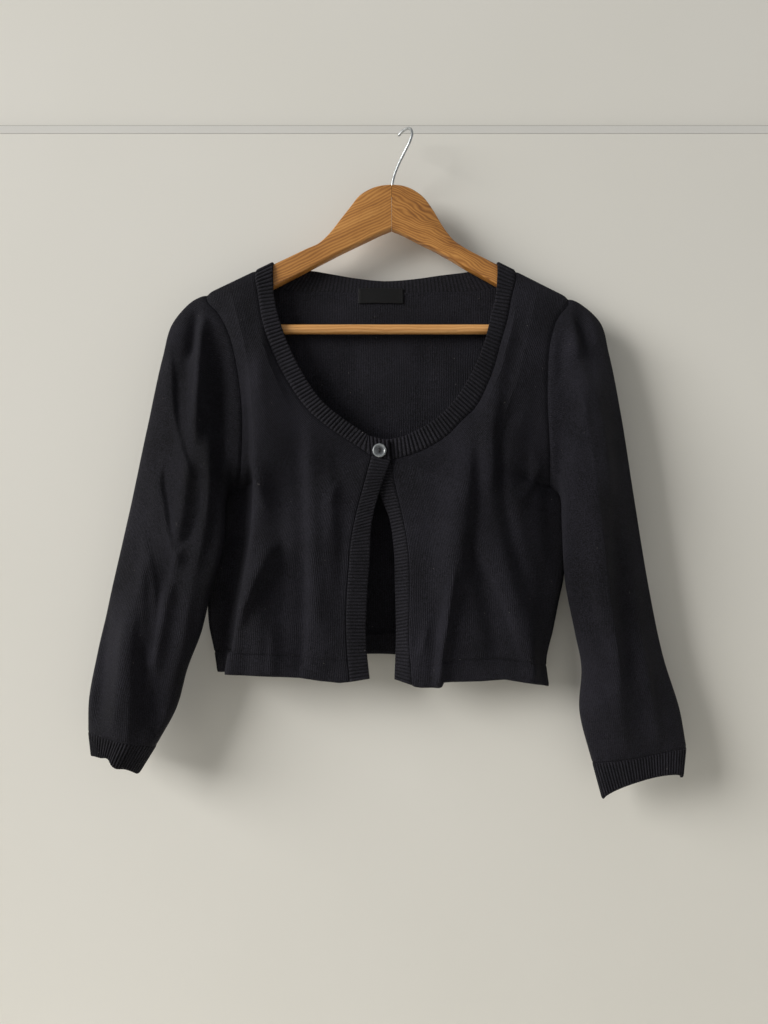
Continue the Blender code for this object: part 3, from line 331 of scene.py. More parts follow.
# The wire is twisted up to this height: how deep its grooves are, and how far apart
TWIST_TOP = 29.0
TWIST_DEPTH = 0.16
TWIST_PITCH = 1.7


def lengths(points):
    """Running length along a line of points."""
    return np.concatenate([[0], np.cumsum(np.linalg.norm(np.diff(points[:, :3], axis=0), axis=1))])


def unit(vectors):
    """Vectors brought to length 1."""
    return vectors / np.maximum(np.linalg.norm(vectors, axis=-1, keepdims=True), 1e-9)


def tube(line, radius, sides, aside):
    """Points and faces of a round wire along a line; aside is a direction never parallel to the line."""
    along = unit(np.gradient(line, axis=0))
    across = unit(np.cross(along, np.array(aside, float)))
    over = np.cross(along, across)
    turn = 2 * np.pi * np.arange(sides) / sides
    radius = np.broadcast_to(radius, len(line))[:, None, None]
    ring = across[:, None] * np.cos(turn)[None, :, None] + over[:, None] * np.sin(turn)[None, :, None]
    return (line[:, None] + radius * ring).reshape(-1, 3), capped_faces(len(line), sides)


angle = np.radians(np.arange(15, 121, 15))
arc = np.stack([HOOK_BEND * np.cos(angle), HOOK_RISE + HOOK_BEND * np.sin(angle)], axis=1)
shape = np.vstack([[(0, -17), (0, 0), (0.5, 11), (4, 21), (11.5, 34), (18.5, 45)], arc])
flat = spline(lengths(shape), shape, np.linspace(0, lengths(shape)[-1], 500))
line = np.stack([HOOK_BASE[0] + HOOK_LEAN * np.maximum(flat[:, 1], 0) + flat[:, 0] * math.cos(HOOK_TURN),
                 -flat[:, 0] * math.sin(HOOK_TURN), HOOK_BASE[1] + flat[:, 1]], axis=1)
thick = WIRE_RADIUS * np.sqrt(np.clip((lengths(line)[-1] - lengths(line)) / WIRE_RADIUS, 0.05, 1))
twisted = (flat[:, 1] > 0) & (flat[:, 1] < TWIST_TOP)
thick = thick - TWIST_DEPTH * twisted * (0.5 + 0.5 * np.sin(2 * np.pi * lengths(line) / TWIST_PITCH))
hook = add_piece("hook", *tube(line, thick, 16, (math.sin(HOOK_TURN), math.cos(HOOK_TURN), 0)))
face_out(hook)
ZINC, tree, shader = new_material("zinc_plated_steel")
place = add_node(tree, "TexCoord").outputs["Object"]
grey = add_node(tree, "TexNoise", links={"Vector": place, "Scale": 180.0, "Detail": 3.0}).outputs["Fac"]
shade = colour_ramp(tree, grey, [(0.3, "#a4a8ab"), (0.7, "#cfd3d6")])
set_inputs(tree, shader, {"Base Color": shade, "Metallic": 1.0, "Roughness": 0.36})
dress(hook, ZINC, "hanger_hook")


# Back panel. Fine black jersey, knitted flat and cut; it goes up to the shoulder seams, rolls forward over
# the hanger's arms there, and its hem is turned up 24 mm inside. The folds of the back are a guess.
KNIT = 1.6
HEM_DEPTH = 24.0
HEM_STEP = 2.0
# The hem's stitching draws the cloth in a little, and its turned-up layer thickens the wall inside
HEM_TUCK = 0.8
HEM_TUCK_REACH = 1.1
HEM_LAYER = 1.2
# Fine steps in each coarse row or column, and how many coarse ones there are
FINE = 8
SIDE_ROWS = 11
ARM_ROWS = 12
BAND_ROWS = 9
INNER_COLUMNS = 8
OUTER_COLUMNS = 4
SHOULDER_COLUMNS = 3
NECK_COLUMNS = 9
ROWS = SIDE_ROWS + ARM_ROWS
CLOTH_OVER_ARM = 0.8 + KNIT / 2
ROLL_Y = (5.8, 7.6)
ROLL_DROP = (0.5, 5.6)

# Neck seam and free edge of the neck band, from the right front's end round the back to the left front's:
# seam x, y, z, then free edge x, y, z
NECK_LINE = [
    (-17, -24.5, -417, -19, -24.5, -394),
    (-39, -24.5, -411.5, -41, -24.5, -388.5),
    (-53, -24, -402, -44, -24, -386.5),
    (-82, -22.5, -383, -70, -22.5, -369),
    (-111, -19.5, -359, -96, -19.5, -347),
    (-136, -16, -325, -118, -16, -316),
    (-158, -13, -282, -139, -13, -274),
    (-170, -11, -246, -150.5, -11, -241),
    (-176, -9, -212, -157, -9, -209),
    ("right arm", -180, -158.5),
    (-170, 9.5, -196.5, -142, 9, -176),
    (-150, 10.3, -200, -128, 10, -175),
    (-128, 10.5, -202, -113, 10.5, -175.5),
    (-97, 10.5, -203, -92, 12, -178.5),
    (-60, 10.5, -203.5, -58, 13, -184),
    (-24, 10.5, -203.5, -24, 14, -187),
    (12, 10.5, -203.5, 11, 13, -185),
    (48, 10.5, -203, 45, 12, -180.5),
    (80, 10.3, -202, 72, 11, -177.5),
    (104, 10, -199, 88, 10, -175.5),
    (122, 9.5, -195.5, 100, 9, -174.5),
    ("left arm", 134, 112),
    (128, -9.5, -215, 109.5, -9.5, -211.5),
    (122, -11, -246, 102.5, -11, -241),
    (113, -12.5, -276, 95.5, -12.5, -269),
    (105, -14, -304.5, 86.5, -14, -294),
    (95, -15.5, -329, 76, -15.5, -315.5),
    (82, -17, -353, 63.5, -17, -336.5),
    (66, -19, -368.5, 50, -19, -353.5),
    (47, -20.5, -388, 34, -20.5, -368.5),
    (20, -21.5, -404.5, 11.5, -21.5, -382),
    (-5, -21, -413, -7, -21, -389.5),
    (-18, -20, -415, -19.5, -20, -391.5),
    (-40, -19.5, -412.5, -40.5, -19.5, -390),
]
# Side seams, hem to underarm, and both halves of each armhole, underarm to the hanger's arm: x, y, z
SIDE_SEAM = {
    "right": [(-218, 5, -660), (-222, 5, -636), (-229, 6, -606), (-231, 6, -584), (-230, 7, -550),
              (-225, 7, -510), (-220, 7, -484), (-216, 6, -463), (-208, 4, -450.5), (-199, 3, -450)],
    "left": [(166, 4, -676), (163.5, 4, -648), (172, 4, -612), (180, 5, -577), (186, 6, -552),
             (189, 6, -525), (190, 6, -490), (188, 5, -463), (181, 4, -447.5), (173, 3, -446)],
}
FRONT_ARMHOLE = {
    "right": [(-199, 3, -450), (-195, -6, -440), (-192.5, -13, -418), (-191, -16, -388), (-191.5, -17, -355),
              (-197, -16, -313), (-205, -14, -277), (-217, -10.5, -246)],
    "left": [(173, 3, -446), (171, -6, -436), (170, -13, -412), (168.5, -16, -380), (167.5, -16.5, -343),
             (169, -15.5, -307), (174, -13, -268), (184, -10, -241)],
}
BACK_ARMHOLE = {
    "right": [(-199, 3, -450), (-197, 9, -438), (-198, 11.5, -412), (-201, 12, -372), (-207, 12, -318),
              (-217, 10.5, -266), (-228, 9, -237)],
    "left": [(173, 3, -446), (171.5, 9, -434), (170.5, 11.5, -408), (170, 12, -370), (171, 12, -312),
             (177, 10.5, -266), (188, 9, -238)],
}
TIP_X = {"right": -238.0, "left": 197.0}
# Way that the cloth's outer side faces at the underarm
UNDERARM_FACING = {"right": (-0.45, 0.3, -0.85), "left": (0.7, 0.05, -0.7)}
# Share of the back's width over which it is drawn forward to each side edge
BACK_EASE = 0.16
# Y of the back's hem in its middle, and how much nearer the viewer its ends are
BACK_HEM_Y = 12
BACK_HEM_TURN = 8
BACK_HEM = [(-218, -660), (-170, -650), (-110, -642), (-46, -640), (-11, -640), (50, -645), (110, -658),
            (166, -676)]
# Straight folds that the solid has too: top x, z, bottom x, z, half width, height toward the outside
BACK_FOLDS = [
    (-190, -300, -176, -520, 16, 4),
    (-120, -330, -96, -700, 16, 4),
    (-30, -420, -44, -700, 14, 3.5),
    (36, -380, 60, -700, 16, 4.5),
    (118, -300, 130, -620, 15, 4),
    (-150, -470, -140, -700, 12, -3),
    (92, -470, 96, -700, 12, -3),
]
# Creases bent as they run, each a list of x, z, half width on its left, on its right, height outward
BACK_CREASES = [
    [(-196, -430, 5, 14, 0), (-176, -445, 6, 14, 2.2), (-140, -470, 8, 16, 1.6), (-100, -500, 9, 16, 0)],
    [(168, -425, 5, 12, 0), (150, -440, 6, 13, 2.4), (118, -462, 8, 15, 1.4), (80, -480, 9, 15, 0)],
    [(-60, -225, 9, 9, 0), (-64, -260, 10, 12, 1.2), (-58, -320, 12, 14, 0.8), (-60, -380, 12, 12, 0)],
    [(30, -225, 9, 9, 0), (26, -280, 10, 12, 1.0), (34, -340, 12, 14, 0)],
    [(-20, -560, 5, 10, 0), (-28, -600, 5, 10, 1.8), (-24, -645, 6, 10, 1.5)],
    [(84, -540, 9, 5, 0), (88, -600, 10, 5, 2.0), (80, -652, 10, 6, 1.8)],
]


def fine_line(points, steps=600):
    """Many points of the smooth line through a few, for measuring along it."""
    points = np.asarray(points, float)
    knots = lengths(points)
    return spline(knots, points, np.linspace(0, knots[-1], steps))


def between(at, knots, rows):
    """Rows of numbers at places between the knots, each number on a straight line."""
    return np.stack([np.interp(at, knots, rows[:, c]) for c in range(rows.shape[1])], axis=1)


def at_lengths(line, distances):
    """Points of a finely divided line at given distances along it."""
    return between(distances, lengths(line), line)


def stations(line, count, first=()):
    """Distances that divide a line into count steps, with fixed ones at its start."""
    total = lengths(line)[-1]
    start = first[-1] if first else 0.0
    middle = np.linspace(start, total, count - len(first) + 1)
    return np.array(([0.0] + list(first[:-1]) if first else []) + list(middle))


def finer(line):
    """Smooth line through a row of points, each step between them divided evenly."""
    knots = lengths(line)
    index = np.arange(0, len(line) - 1 + 0.5 / FINE, 1 / FINE)
    return spline(knots, line, np.interp(index, np.arange(len(line)), knots))


def over_arm(side, x, facing):
    """Three points where cloth rolls over the arm: on its face, on its edge, and at the seam on top."""
    height, slope = ARM_LINE[side]
    top = height + slope * x + CLOTH_OVER_ARM
    low, high = [(x, facing * y, top - drop) for y, drop in zip(ROLL_Y[::-1], ROLL_DROP[::-1])]
    return [low, high, (x, 0, top)]


def neck_table():
    """Rows of the neck line with the rolls over both hanger arms written out."""
    rows = []
    marks = {}
    for row in NECK_LINE:
        if not isinstance(row[0], str):
            rows.append(row)
            continue
        side = row[0].split()[0]
        facing = -1 if side == "right" else 1
        seam = over_arm(side, row[1], facing) + over_arm(side, row[1], -facing)[1::-1]
        free = over_arm(side, row[2], facing) + over_arm(side, row[2], -facing)[1::-1]
        marks[side] = len(rows) + 2
        rows += [a + b for a, b in zip(seam, free)]
    return np.array(rows, float), marks


def neck_stretch(table, first, last, count, rolls):
    """Finely divided seam and free-edge lines between two rows of the neck table."""
    knots = lengths(table)
    low = knots[first + 2] if "start" in rolls else knots[first]
    high = knots[last - 2] if "end" in rolls else knots[last]
    at = list(np.linspace(low, high, count + 1))
    if "start" in rolls:
        at = [knots[first], knots[first + 1]] + at
    if "end" in rolls:
        at = at + [knots[last - 1], knots[last]]
    index = np.arange(0, len(at) - 1 + 0.5 / FINE, 1 / FINE)
    return spline(knots, table, np.interp(index, np.arange(len(at)), at))


def relief(x, z, folds):
    """Height of straight folds at points of the front view; a fold dies out over its last quarter."""
    total = np.zeros_like(x)
    for top_x, top_z, low_x, low_z, width, height in folds:
        along = np.array([low_x - top_x, low_z - top_z], float)
        reach = np.hypot(*along)
        along /= reach
        share = ((x - top_x) * along[0] + (z - top_z) * along[1]) / reach
        off = (x - top_x) * along[1] - (z - top_z) * along[0]
        fade = np.clip(share / 0.25, 0, 1) * np.clip((1 - share) / 0.25, 0, 1)
        total += height * np.exp(-(off / width)**2) * fade * fade * (3 - 2 * fade)
    return total


def creases(x, z, paths):
    """Height of bent creases: by the nearest step of each path, steeper on the side with the lesser width."""
    total = np.zeros_like(x)
    for path in paths:
        path = np.array(path, float)
        run = lengths(np.c_[path[:, :2], np.zeros(len(path))])
        fine = spline(run, path, np.linspace(0, run[-1], 5 * len(path)))
        nearest = np.full(x.shape, 1e9)
        height = np.zeros_like(x)
        for a, b in zip(fine[:-1], fine[1:]):
            step = b[:2] - a[:2]
            share = np.clip(((x - a[0]) * step[0] + (z - a[1]) * step[1]) / (step @ step), 0, 1)
            dx = x - a[0] - share * step[0]
            dz = z - a[1] - share * step[1]
            off = np.hypot(dx, dz)
            right = step[0] * dz - step[1] * dx > 0
            width = np.where(right, b[3], b[2])
            lift = (a[4] + (b[4] - a[4]) * share) * np.exp(-(off / width)**2)
            closer = off < nearest
            height = np.where(closer, lift, height)
            nearest = np.where(closer, off, nearest)
        total += height
    return total


def slack(x, z, seed, reach, height):
    """Slight waviness of hung cloth: a sum of a few long waves of chance direction, the same at each run."""
    chance = np.random.default_rng(seed)
    total = np.zeros_like(x)
    for k in range(7):
        turn = chance.uniform(-0.5, 0.5) + (math.pi / 2 if k % 3 == 0 else 0)
        length = reach * chance.uniform(0.7, 1.6)
        shift = chance.uniform(0, 2 * math.pi)
        total += np.sin(2 * math.pi * (x * math.cos(turn) + z * math.sin(turn)) / length + shift)
    return total * height / 7


def outer_edge(side, armhole, facing, plain=False):
    """Fine side seam and half of the armhole, hem to shoulder tip; the two meet in a corner at the underarm,
    which a plain edge rounds off."""
    seam = fine_line(SIDE_SEAM[side])
    rows = np.array(stations(seam, SIDE_ROWS, (HEM_DEPTH, HEM_DEPTH + HEM_STEP)))
    if plain:
        seam = finer(at_lengths(seam, rows))
    else:
        seam = at_lengths(seam, np.clip(finer(rows[:, None])[:, 0], 0, lengths(seam)[-1]))
    roll = over_arm(side, TIP_X[side], facing)
    arm = fine_line(armhole + roll[:1])
    arm = np.vstack([at_lengths(arm, stations(arm, ARM_ROWS - 2)), roll[1:]])
    return np.vstack([seam, finer(arm)[1:]])


def back_surface(neck):
    """Back: a patch between hem, side edges and top, whose two rolls over the arms only cover the shoulders.

    Each point is the sum of a blend across, a blend up, less the blend of the corners; its depth is the plain
    blend up, drawn forward to the side edges over the outer part of the width.
    """
    right = outer_edge("right", BACK_ARMHOLE["right"], 1, True)
    left = outer_edge("left", BACK_ARMHOLE["left"], 1, True)
    top_row = (ROWS - 2) * FINE
    share = np.arange(0, SHOULDER_COLUMNS * FINE + 1)[:, None] / (SHOULDER_COLUMNS * FINE)
    roll = np.arange(2 * FINE + 1)
    right_roll = right[top_row + roll][:, None] * (1 - share) + neck[2 * FINE - roll][:, None] * share
    left_roll = neck[len(neck) - 1 - 2 * FINE + roll][:, None] * (1 - share)
    left_roll = left_roll + left[top_row + roll][:, None] * share
    top = np.vstack([right_roll[0], neck[2 * FINE + 1:-2 * FINE - 1], left_roll[0]])
    columns = len(top)
    hem = np.array(BACK_HEM, float)
    u = np.linspace(0, 1, columns)
    low = np.stack([right[0, 0] + (left[0, 0] - right[0, 0]) * u,
                    BACK_HEM_Y - BACK_HEM_TURN * np.abs(2 * u - 1)**8, u], axis=1)
    low[:, 2] = np.interp(low[:, 0], hem[:, 0], hem[:, 1])
    low[:, 2] = np.convolve(np.pad(low[:, 2], 6, mode="edge"), np.ones(13) / 13, "valid")
    low[0] = right[0]
    low[-1] = left[0]
    run = lengths(right[:top_row + 1])
    v = (run / run[-1])[:, None, None]**1.3
    u = u[None, :, None]
    sides = right[:top_row + 1, None] * (1 - u) + left[:top_row + 1, None] * u
    ends = low[None] * (1 - v) + top[None] * v
    corners = (low[0] * (1 - u) + low[-1] * u) * (1 - v) + (top[0] * (1 - u) + top[-1] * u) * v
    sheet = np.empty((len(right), columns, 3))
    sheet[:top_row + 1] = sides + ends - corners
    plain = ends[..., 1]
    near_right = np.clip(1 - u[..., 0] / BACK_EASE, 0, 1)**2
    near_left = np.clip(1 - (1 - u[..., 0]) / BACK_EASE, 0, 1)**2
    sheet[:top_row + 1, :, 1] = (plain + (right[:top_row + 1, 1:2] - plain[:, :1]) * near_right
                                 + (left[:top_row + 1, 1:2] - plain[:, -1:]) * near_left)
    sheet[top_row:] = sheet[top_row]
    sheet[top_row:, :SHOULDER_COLUMNS * FINE + 1] = right_roll
    sheet[top_row:, -SHOULDER_COLUMNS * FINE - 1:] = left_roll
    r = np.arange(len(right))[:, None] / FINE
    c = np.arange(columns)[None] / FINE
    fade = np.clip(np.minimum(c, columns / FINE - 1 / FINE - c) / 2, 0, 1) * np.clip((ROWS - 2 - r) / 4, 0, 1)
    x, z = sheet[..., 0].copy(), sheet[..., 2].copy()
    sheet[..., 1] += (relief(x, z, BACK_FOLDS) + creases(x, z, BACK_CREASES) + slack(x, z, 5, 60, 0.9)) * fade
    sheet += (outer_edge("right", BACK_ARMHOLE["right"], 1) - right)[:, None] * (1 - u)**20
    sheet += (outer_edge("left", BACK_ARMHOLE["left"], 1) - left)[:, None] * u**20
    return sheet


def sheet_normals(sheet, closed=False):
    """Unit normals of a sheet from its differences along rows and columns."""
    if closed:
        across = np.roll(sheet, -1, axis=1) - np.roll(sheet, 1, axis=1)
    else:
        across = np.gradient(sheet, axis=1)
    return unit(np.cross(np.gradient(sheet, axis=0), across))


def edge_facing(side, facing):
    """Way that the outer side faces along a side seam and half an armhole, for both pieces sewn there."""
    sign = -1 if side == "right" else 1
    rows = [0, SIDE_ROWS - 1.5, SIDE_ROWS, SIDE_ROWS + 1.5, SIDE_ROWS + 4, ROWS - 3, ROWS - 2, ROWS - 1, ROWS]
    ways = np.array([(sign, 0, 0), (sign, 0, 0), UNDERARM_FACING[side], (0.3 * sign, 0.8 * facing, -0.3),
                     (0, facing, 0), (0, facing, 0), (0, 0.95 * facing, 0.3), (0, 0.4 * facing, 0.9),
                     (-ARM_LINE[side][1], 0, 1)], float)
    return unit(between(np.arange(ROWS * FINE + 1) / FINE, rows, ways))


def turned_edge(sheet, normals, facing, side, reach=3.0):
    """Normals drawn to a common facing over the few millimetres beside one edge of a sheet."""
    weight = np.exp(-(edge_distance(sheet, (side,)) / reach)**2)[..., None]
    facing = facing[:, None] if side in ("start", "end") else facing[None]
    return unit(normals * (1 - weight) + facing * weight)


def edge_distance(sheet, sides):
    """Distance of each point from the named edges of its sheet, measured along rows and columns."""
    down = np.cumsum(np.linalg.norm(np.diff(sheet, axis=0, prepend=sheet[:1]), axis=2), axis=0)
    over = np.cumsum(np.linalg.norm(np.diff(sheet, axis=1, prepend=sheet[:, :1]), axis=2), axis=1)
    far = np.full(sheet.shape[:2], 1e9)
    away = {"low": down, "high": down[-1:] - down, "start": over, "end": over[:, -1:] - over}
    for side in sides:
        far = np.minimum(far, away[side])
    return far


def wall(name, sheet, normals, outer, inner, uv, faces=None, closed=False):
    """Closed cloth wall: the sheet moved out and in along its normals, joined round its open edges."""
    rows, columns = sheet.shape[:2]
    if faces is None:
        faces = grid_faces(rows, columns, closed)
    shift = rows * columns
    edges = np.concatenate([faces[:, [k, (k + 1) % 4]] for k in range(4)])
    key = np.sort(edges, axis=1) @ np.array([shift, 1])
    _, first, counts = np.unique(key, return_index=True, return_counts=True)
    rim = edges[first[counts == 1]]
    rims = np.stack([rim[:, 1], rim[:, 0], rim[:, 0] + shift, rim[:, 1] + shift], axis=1)
    points = np.concatenate([(sheet + normals * outer[..., None]).reshape(-1, 3),
                             (sheet - normals * inner[..., None]).reshape(-1, 3)])
    everything = np.concatenate([faces, faces[:, ::-1] + shift, rims])
    used = np.zeros(len(points), bool)
    used[everything.ravel()] = True
    renumber = np.cumsum(used) - 1
    uv = np.concatenate([uv.reshape(-1, 2), uv.reshape(-1, 2)])
    piece = add_piece(name, points[used], renumber[everything], uv[used])
    face_out(piece)
    return piece


def seam_dip(distance, depth=0.9, reach=2.2):
    """How far cloth turns in beside a seam."""
    return depth * np.exp(-(distance / reach)**2)


def rounded_edge(distance, radius=KNIT / 2):
    """Half thickness near an open edge, so that the edge is round."""
    share = np.clip(1 - distance / radius, 0, 1)
    return radius * np.sqrt(np.maximum(1 - share**2, 0.12))


def hem_tuck(distance):
    """How far cloth turns in at the line of stitches along the top of a hem."""
    return HEM_TUCK * np.exp(-((distance - HEM_DEPTH) / HEM_TUCK_REACH)**2)


def shoulder_facing(side, count):
    """Way that the cloth's outer side faces on top of an arm of the hanger, once for each column."""
    return np.tile(unit(np.array([-ARM_LINE[side][1], 0, 1])), (count, 1))


def fine_jersey(name, wale, course, shade_low, shade_high, furrow=None):
    """Matt black combed jersey: columns of small V stitches, a thin nap, a few specks of lint and a greyer
    bloom where it has worn. A ribbed one has painted shade in the furrow at each wale; furrow gives the share
    of its colour left there."""
    made, tree, shader = new_material(name)
    uv = add_node(tree, "UVMap", {"uv_map": "cloth"}).outputs[0]
    flat = add_node(tree, "SeparateXYZ", links={0: uv})
    column = add_node(tree, "Math", TIMES, {0: flat.outputs["X"], 1: UV_UNIT / wale}).outputs[0]
    row = add_node(tree, "Math", TIMES, {0: flat.outputs["Y"], 1: UV_UNIT / course}).outputs[0]
    place = add_node(tree, "TexCoord").outputs["Object"]
    if furrow is None:
        drift = add_node(tree, "TexNoise", links={"Vector": place, "Scale": 60.0, "Detail": 2.0})
        column = add_node(tree, "Math", {"operation": "ADD"}, {0: column, 1: drift.outputs["Fac"]}).outputs[0]
    side = add_node(tree, "Math", {"operation": "PINGPONG"}, {0: column, 1: 0.5}).outputs[0]
    slant = add_node(tree, "Math", TIMES_PLUS, {0: side, 1: 1.1, 2: row}).outputs[0]
    loop = add_node(tree, "Math", {"operation": "PINGPONG"}, {0: slant, 1: 0.5}).outputs[0]
    groove = add_node(tree, "Math", TIMES, {0: side, 1: 1.6}).outputs[0]
    stitch = add_node(tree, "Math", TIMES_PLUS, {0: loop, 1: 0.8, 2: groove}).outputs[0]
    fuzz, bloom = [add_node(tree, "TexNoise", links={"Vector": place, "Scale": scale, "Detail": detail,
                                                     "Roughness": 0.6}).outputs["Fac"]
                   for scale, detail in ((900.0, 2.0), (11.0, 5.0))]
    height = add_node(tree, "Math", TIMES_PLUS, {0: fuzz, 1: 1.6, 2: stitch}).outputs[0]
    bump = add_node(tree, "Bump", links={"Height": height, "Strength": 0.75, "Distance": 0.0009}).outputs[0]
    grain = add_node(tree, "Math", TIMES_PLUS, {0: fuzz, 1: 2.2, 2: bloom}).outputs[0]
    tone = add_node(tree, "Math", TIMES_PLUS, {0: stitch, 1: 0.5, 2: grain}).outputs[0]
    share = add_node(tree, "MapRange", links={"Value": tone, "From Min": 1.45, "From Max": 2.35}).outputs[0]
    base = colour_ramp(tree, share, [(0.0, shade_low), (1.0, shade_high)])
    if furrow is not None:
        # Painted shade: in the furrow between two ribs the colour is mixed toward near black, down to the share
        # that furrow gives.
        unshaded_part = add_node(tree, "MapRange", links={"Value": side, "From Min": 0.02, "From Max": 0.24,
                                                      "To Min": furrow, "To Max": 1.0}).outputs[0]
        base = add_node(tree, "Mix", {"data_type": "RGBA"},
                        {"Factor": unshaded_part, 6: colour("#040405"), 7: base}).outputs[2]
    dots = add_node(tree, "TexVoronoi", {"voronoi_dimensions": "2D"}, {"Vector": uv, "Scale": 3.1}).outputs
    near = add_node(tree, "Math", {"operation": "LESS_THAN"}, {0: dots["Distance"], 1: 0.016}).outputs[0]
    pick = add_node(tree, "SeparateColor", links={0: dots["Color"]}).outputs["Red"]
    chosen = add_node(tree, "Math", {"operation": "GREATER_THAN"}, {0: pick, 1: 0.8}).outputs[0]
    lint = add_node(tree, "Math", TIMES, {0: near, 1: chosen}).outputs[0]
    lint = add_node(tree, "Math", TIMES, {0: lint, 1: 0.3}).outputs[0]
    shade = add_node(tree, "Mix", {"data_type": "RGBA"},
                     {"Factor": lint, 6: base, 7: colour("#8f8a86")}).outputs[2]
    set_inputs(tree, shader, {"Base Color": shade, "Normal": bump, "Roughness": 0.7,
                              "Specular IOR Level": 0.11, "Sheen Weight": 0.02, "Sheen Roughness": 0.45,
                              "Sheen Tint": colour("#c4c6d6")})
    return made


JERSEY = fine_jersey("fine_black_jersey", 2.1, 1.7, "#070709", "#2a2931")


def cloth(piece, material, node):
    """Dresses a cloth piece: its material, its body and the node that it stands for."""
    dress(piece, material, node)


TABLE, ARM_MARK = neck_table()
NECK_ROWS = ROWS - BAND_ROWS - 2
RIGHT_NECK = neck_stretch(TABLE, 1, ARM_MARK["right"], NECK_ROWS, ("end",))
BACK_NECK = neck_stretch(TABLE, ARM_MARK["right"], ARM_MARK["left"], NECK_COLUMNS, ("start", "end"))
LEFT_NECK = neck_stretch(TABLE, ARM_MARK["left"], len(TABLE) - 2, NECK_ROWS, ("start",))
back = back_surface(BACK_NECK[:, :3])
rows, columns = back.shape[:2]
top_row = (ROWS - 2) * FINE
shoulder = SHOULDER_COLUMNS * FINE
low_part = back[:top_row + 1]
faces = grid_faces(rows, columns).reshape(rows - 1, columns - 1, 4)
keep = np.ones((rows - 1, columns - 1), bool)
keep[top_row:, shoulder:-shoulder] = False
normals = np.empty_like(back)
normals[:top_row + 1] = sheet_normals(low_part)
normals[top_row + 1:] = normals[top_row]
distance = edge_distance(back, ("start", "end"))
inside = slice(shoulder, -shoulder)
distance[:top_row + 1, inside] = np.minimum(distance[:top_row + 1, inside],
                                            edge_distance(low_part, ("high",))[:, inside])
shoulders = {"right": slice(0, shoulder + 1), "left": slice(columns - shoulder - 1, None)}
for side, neck_side in (("right", "end"), ("left", "start")):
    part = shoulders[side]
    normals[top_row:, part] = sheet_normals(back[top_row - FINE:, part])[FINE:]
    distance[:, part] = np.minimum(distance[:, part], edge_distance(back[:, part], ("high",)))
    distance[top_row:, part] = np.minimum(distance[top_row:, part],
                                          edge_distance(back[top_row:, part], (neck_side,)))
normals *= np.sign(np.median(normals[:60, :, 1]))
normals = turned_edge(back, normals, edge_facing("right", 1), "start")
normals = turned_edge(back, normals, edge_facing("left", 1), "end")
for side, part in shoulders.items():
    up = shoulder_facing(side, shoulder + 1)
    normals[:, part] = turned_edge(back[:, part], normals[:, part], up, "high")
hem_distance = np.full((rows, columns), 1e3)
hem_distance[:top_row + 1] = edge_distance(low_part, ("low",))
back = back - normals * (seam_dip(distance) + hem_tuck(hem_distance))[..., None]
half = rounded_edge(hem_distance)
uv = np.stack([back[..., 0], back[..., 2]], axis=-1)
BACK_NORMALS = normals
piece = wall("back", back, normals, half, half + HEM_LAYER * (hem_distance < HEM_DEPTH), uv, faces[keep])
cloth(piece, JERSEY, "back_panel")


# Fronts. Cut from the same jersey as the back and sewn to it at the sides and over the shoulders. Each falls
# from its neck seam in long soft folds, swings forward to a ridge, and goes back to its side seam.
# Forward ridge of each front: share of its height, x and y
FRONT_RIDGE = {
    "right": [(0, -201, -33), (0.06, -196, -33), (0.12, -190.5, -34), (0.2, -183, -34), (0.32, -174, -34),
              (0.44, -172, -33), (0.52, -173, -31), (0.6, -175, -27), (0.72, -183, -20), (0.88, -205, -13),
              (0.95, -217, -8.5), (1, -224, 0)],
    "left": [(0, 143, -20), (0.1, 140, -23), (0.2, 130, -27), (0.32, 118, -30), (0.45, 110, -30),
             (0.6, 118, -26), (0.72, 138, -20), (0.88, 158, -13), (0.95, 170, -8.5), (1, 180, 0)],
}
# How steeply a front goes back behind its ridge: low down, higher up, and the shares between the two
RETURN_POWER = {"right": 8.0, "left": 1.7}
RETURN_POWER_ABOVE = 1.7
RETURN_CHANGE = (0.5, 0.7)
RETURN_SPACING = {"right": 1.6, "left": 0.7}
SIDE_TURN = 3.0
# Gathers pull the armhole seam in, which leaves a soft groove beside it
ARMHOLE_GROOVE = 1.2
ARMHOLE_REACH = 5.0
# Fine columns over which the ridge is rounded, and shares of a front's length that follow its hem
RIDGE_SOFTNESS = {"right": 13, "left": 21}
HEM_DRAW = 0.35
HEM_SHARE = 0.2
# Hem between band seam and side seam: x, z
FRONT_HEM = {
    "right": [(-63, -668.5), (-75, -669.5), (-97, -667), (-119, -663.5), (-153, -661.5), (-199, -659.5),
              (-218, -660)],
    "left": [(6, -672), (9, -674), (16, -675), (37, -675), (40, -674.5), (42, -669), (83, -668), (111, -666),
             (143, -671), (166, -676)],
}
FRONT_FOLDS = {
    "right": [
        (-176, -262, -166, -470, 9, 3.5),
        (-152, -505, -190, -608, 9, 5),
        (-112, -360, -100, -640, 11, 5),
        (-146, -400, -136, -672, 12, -4),
        (-72, -470, -84, -690, 9, -3.5),
        (-170, -540, -160, -700, 10, 3),
    ],
    "left": [
        (62, -430, 40, -600, 13, 5),
        (52, -545, 37, -700, 6, 4.5),
        (24, -600, 17, -690, 6, 2.5),
        (78, -520, 108, -660, 12, -5),
        (88, -390, 70, -560, 10, -3),
        (152, -380, 158, -560, 10, 3),
    ],
}
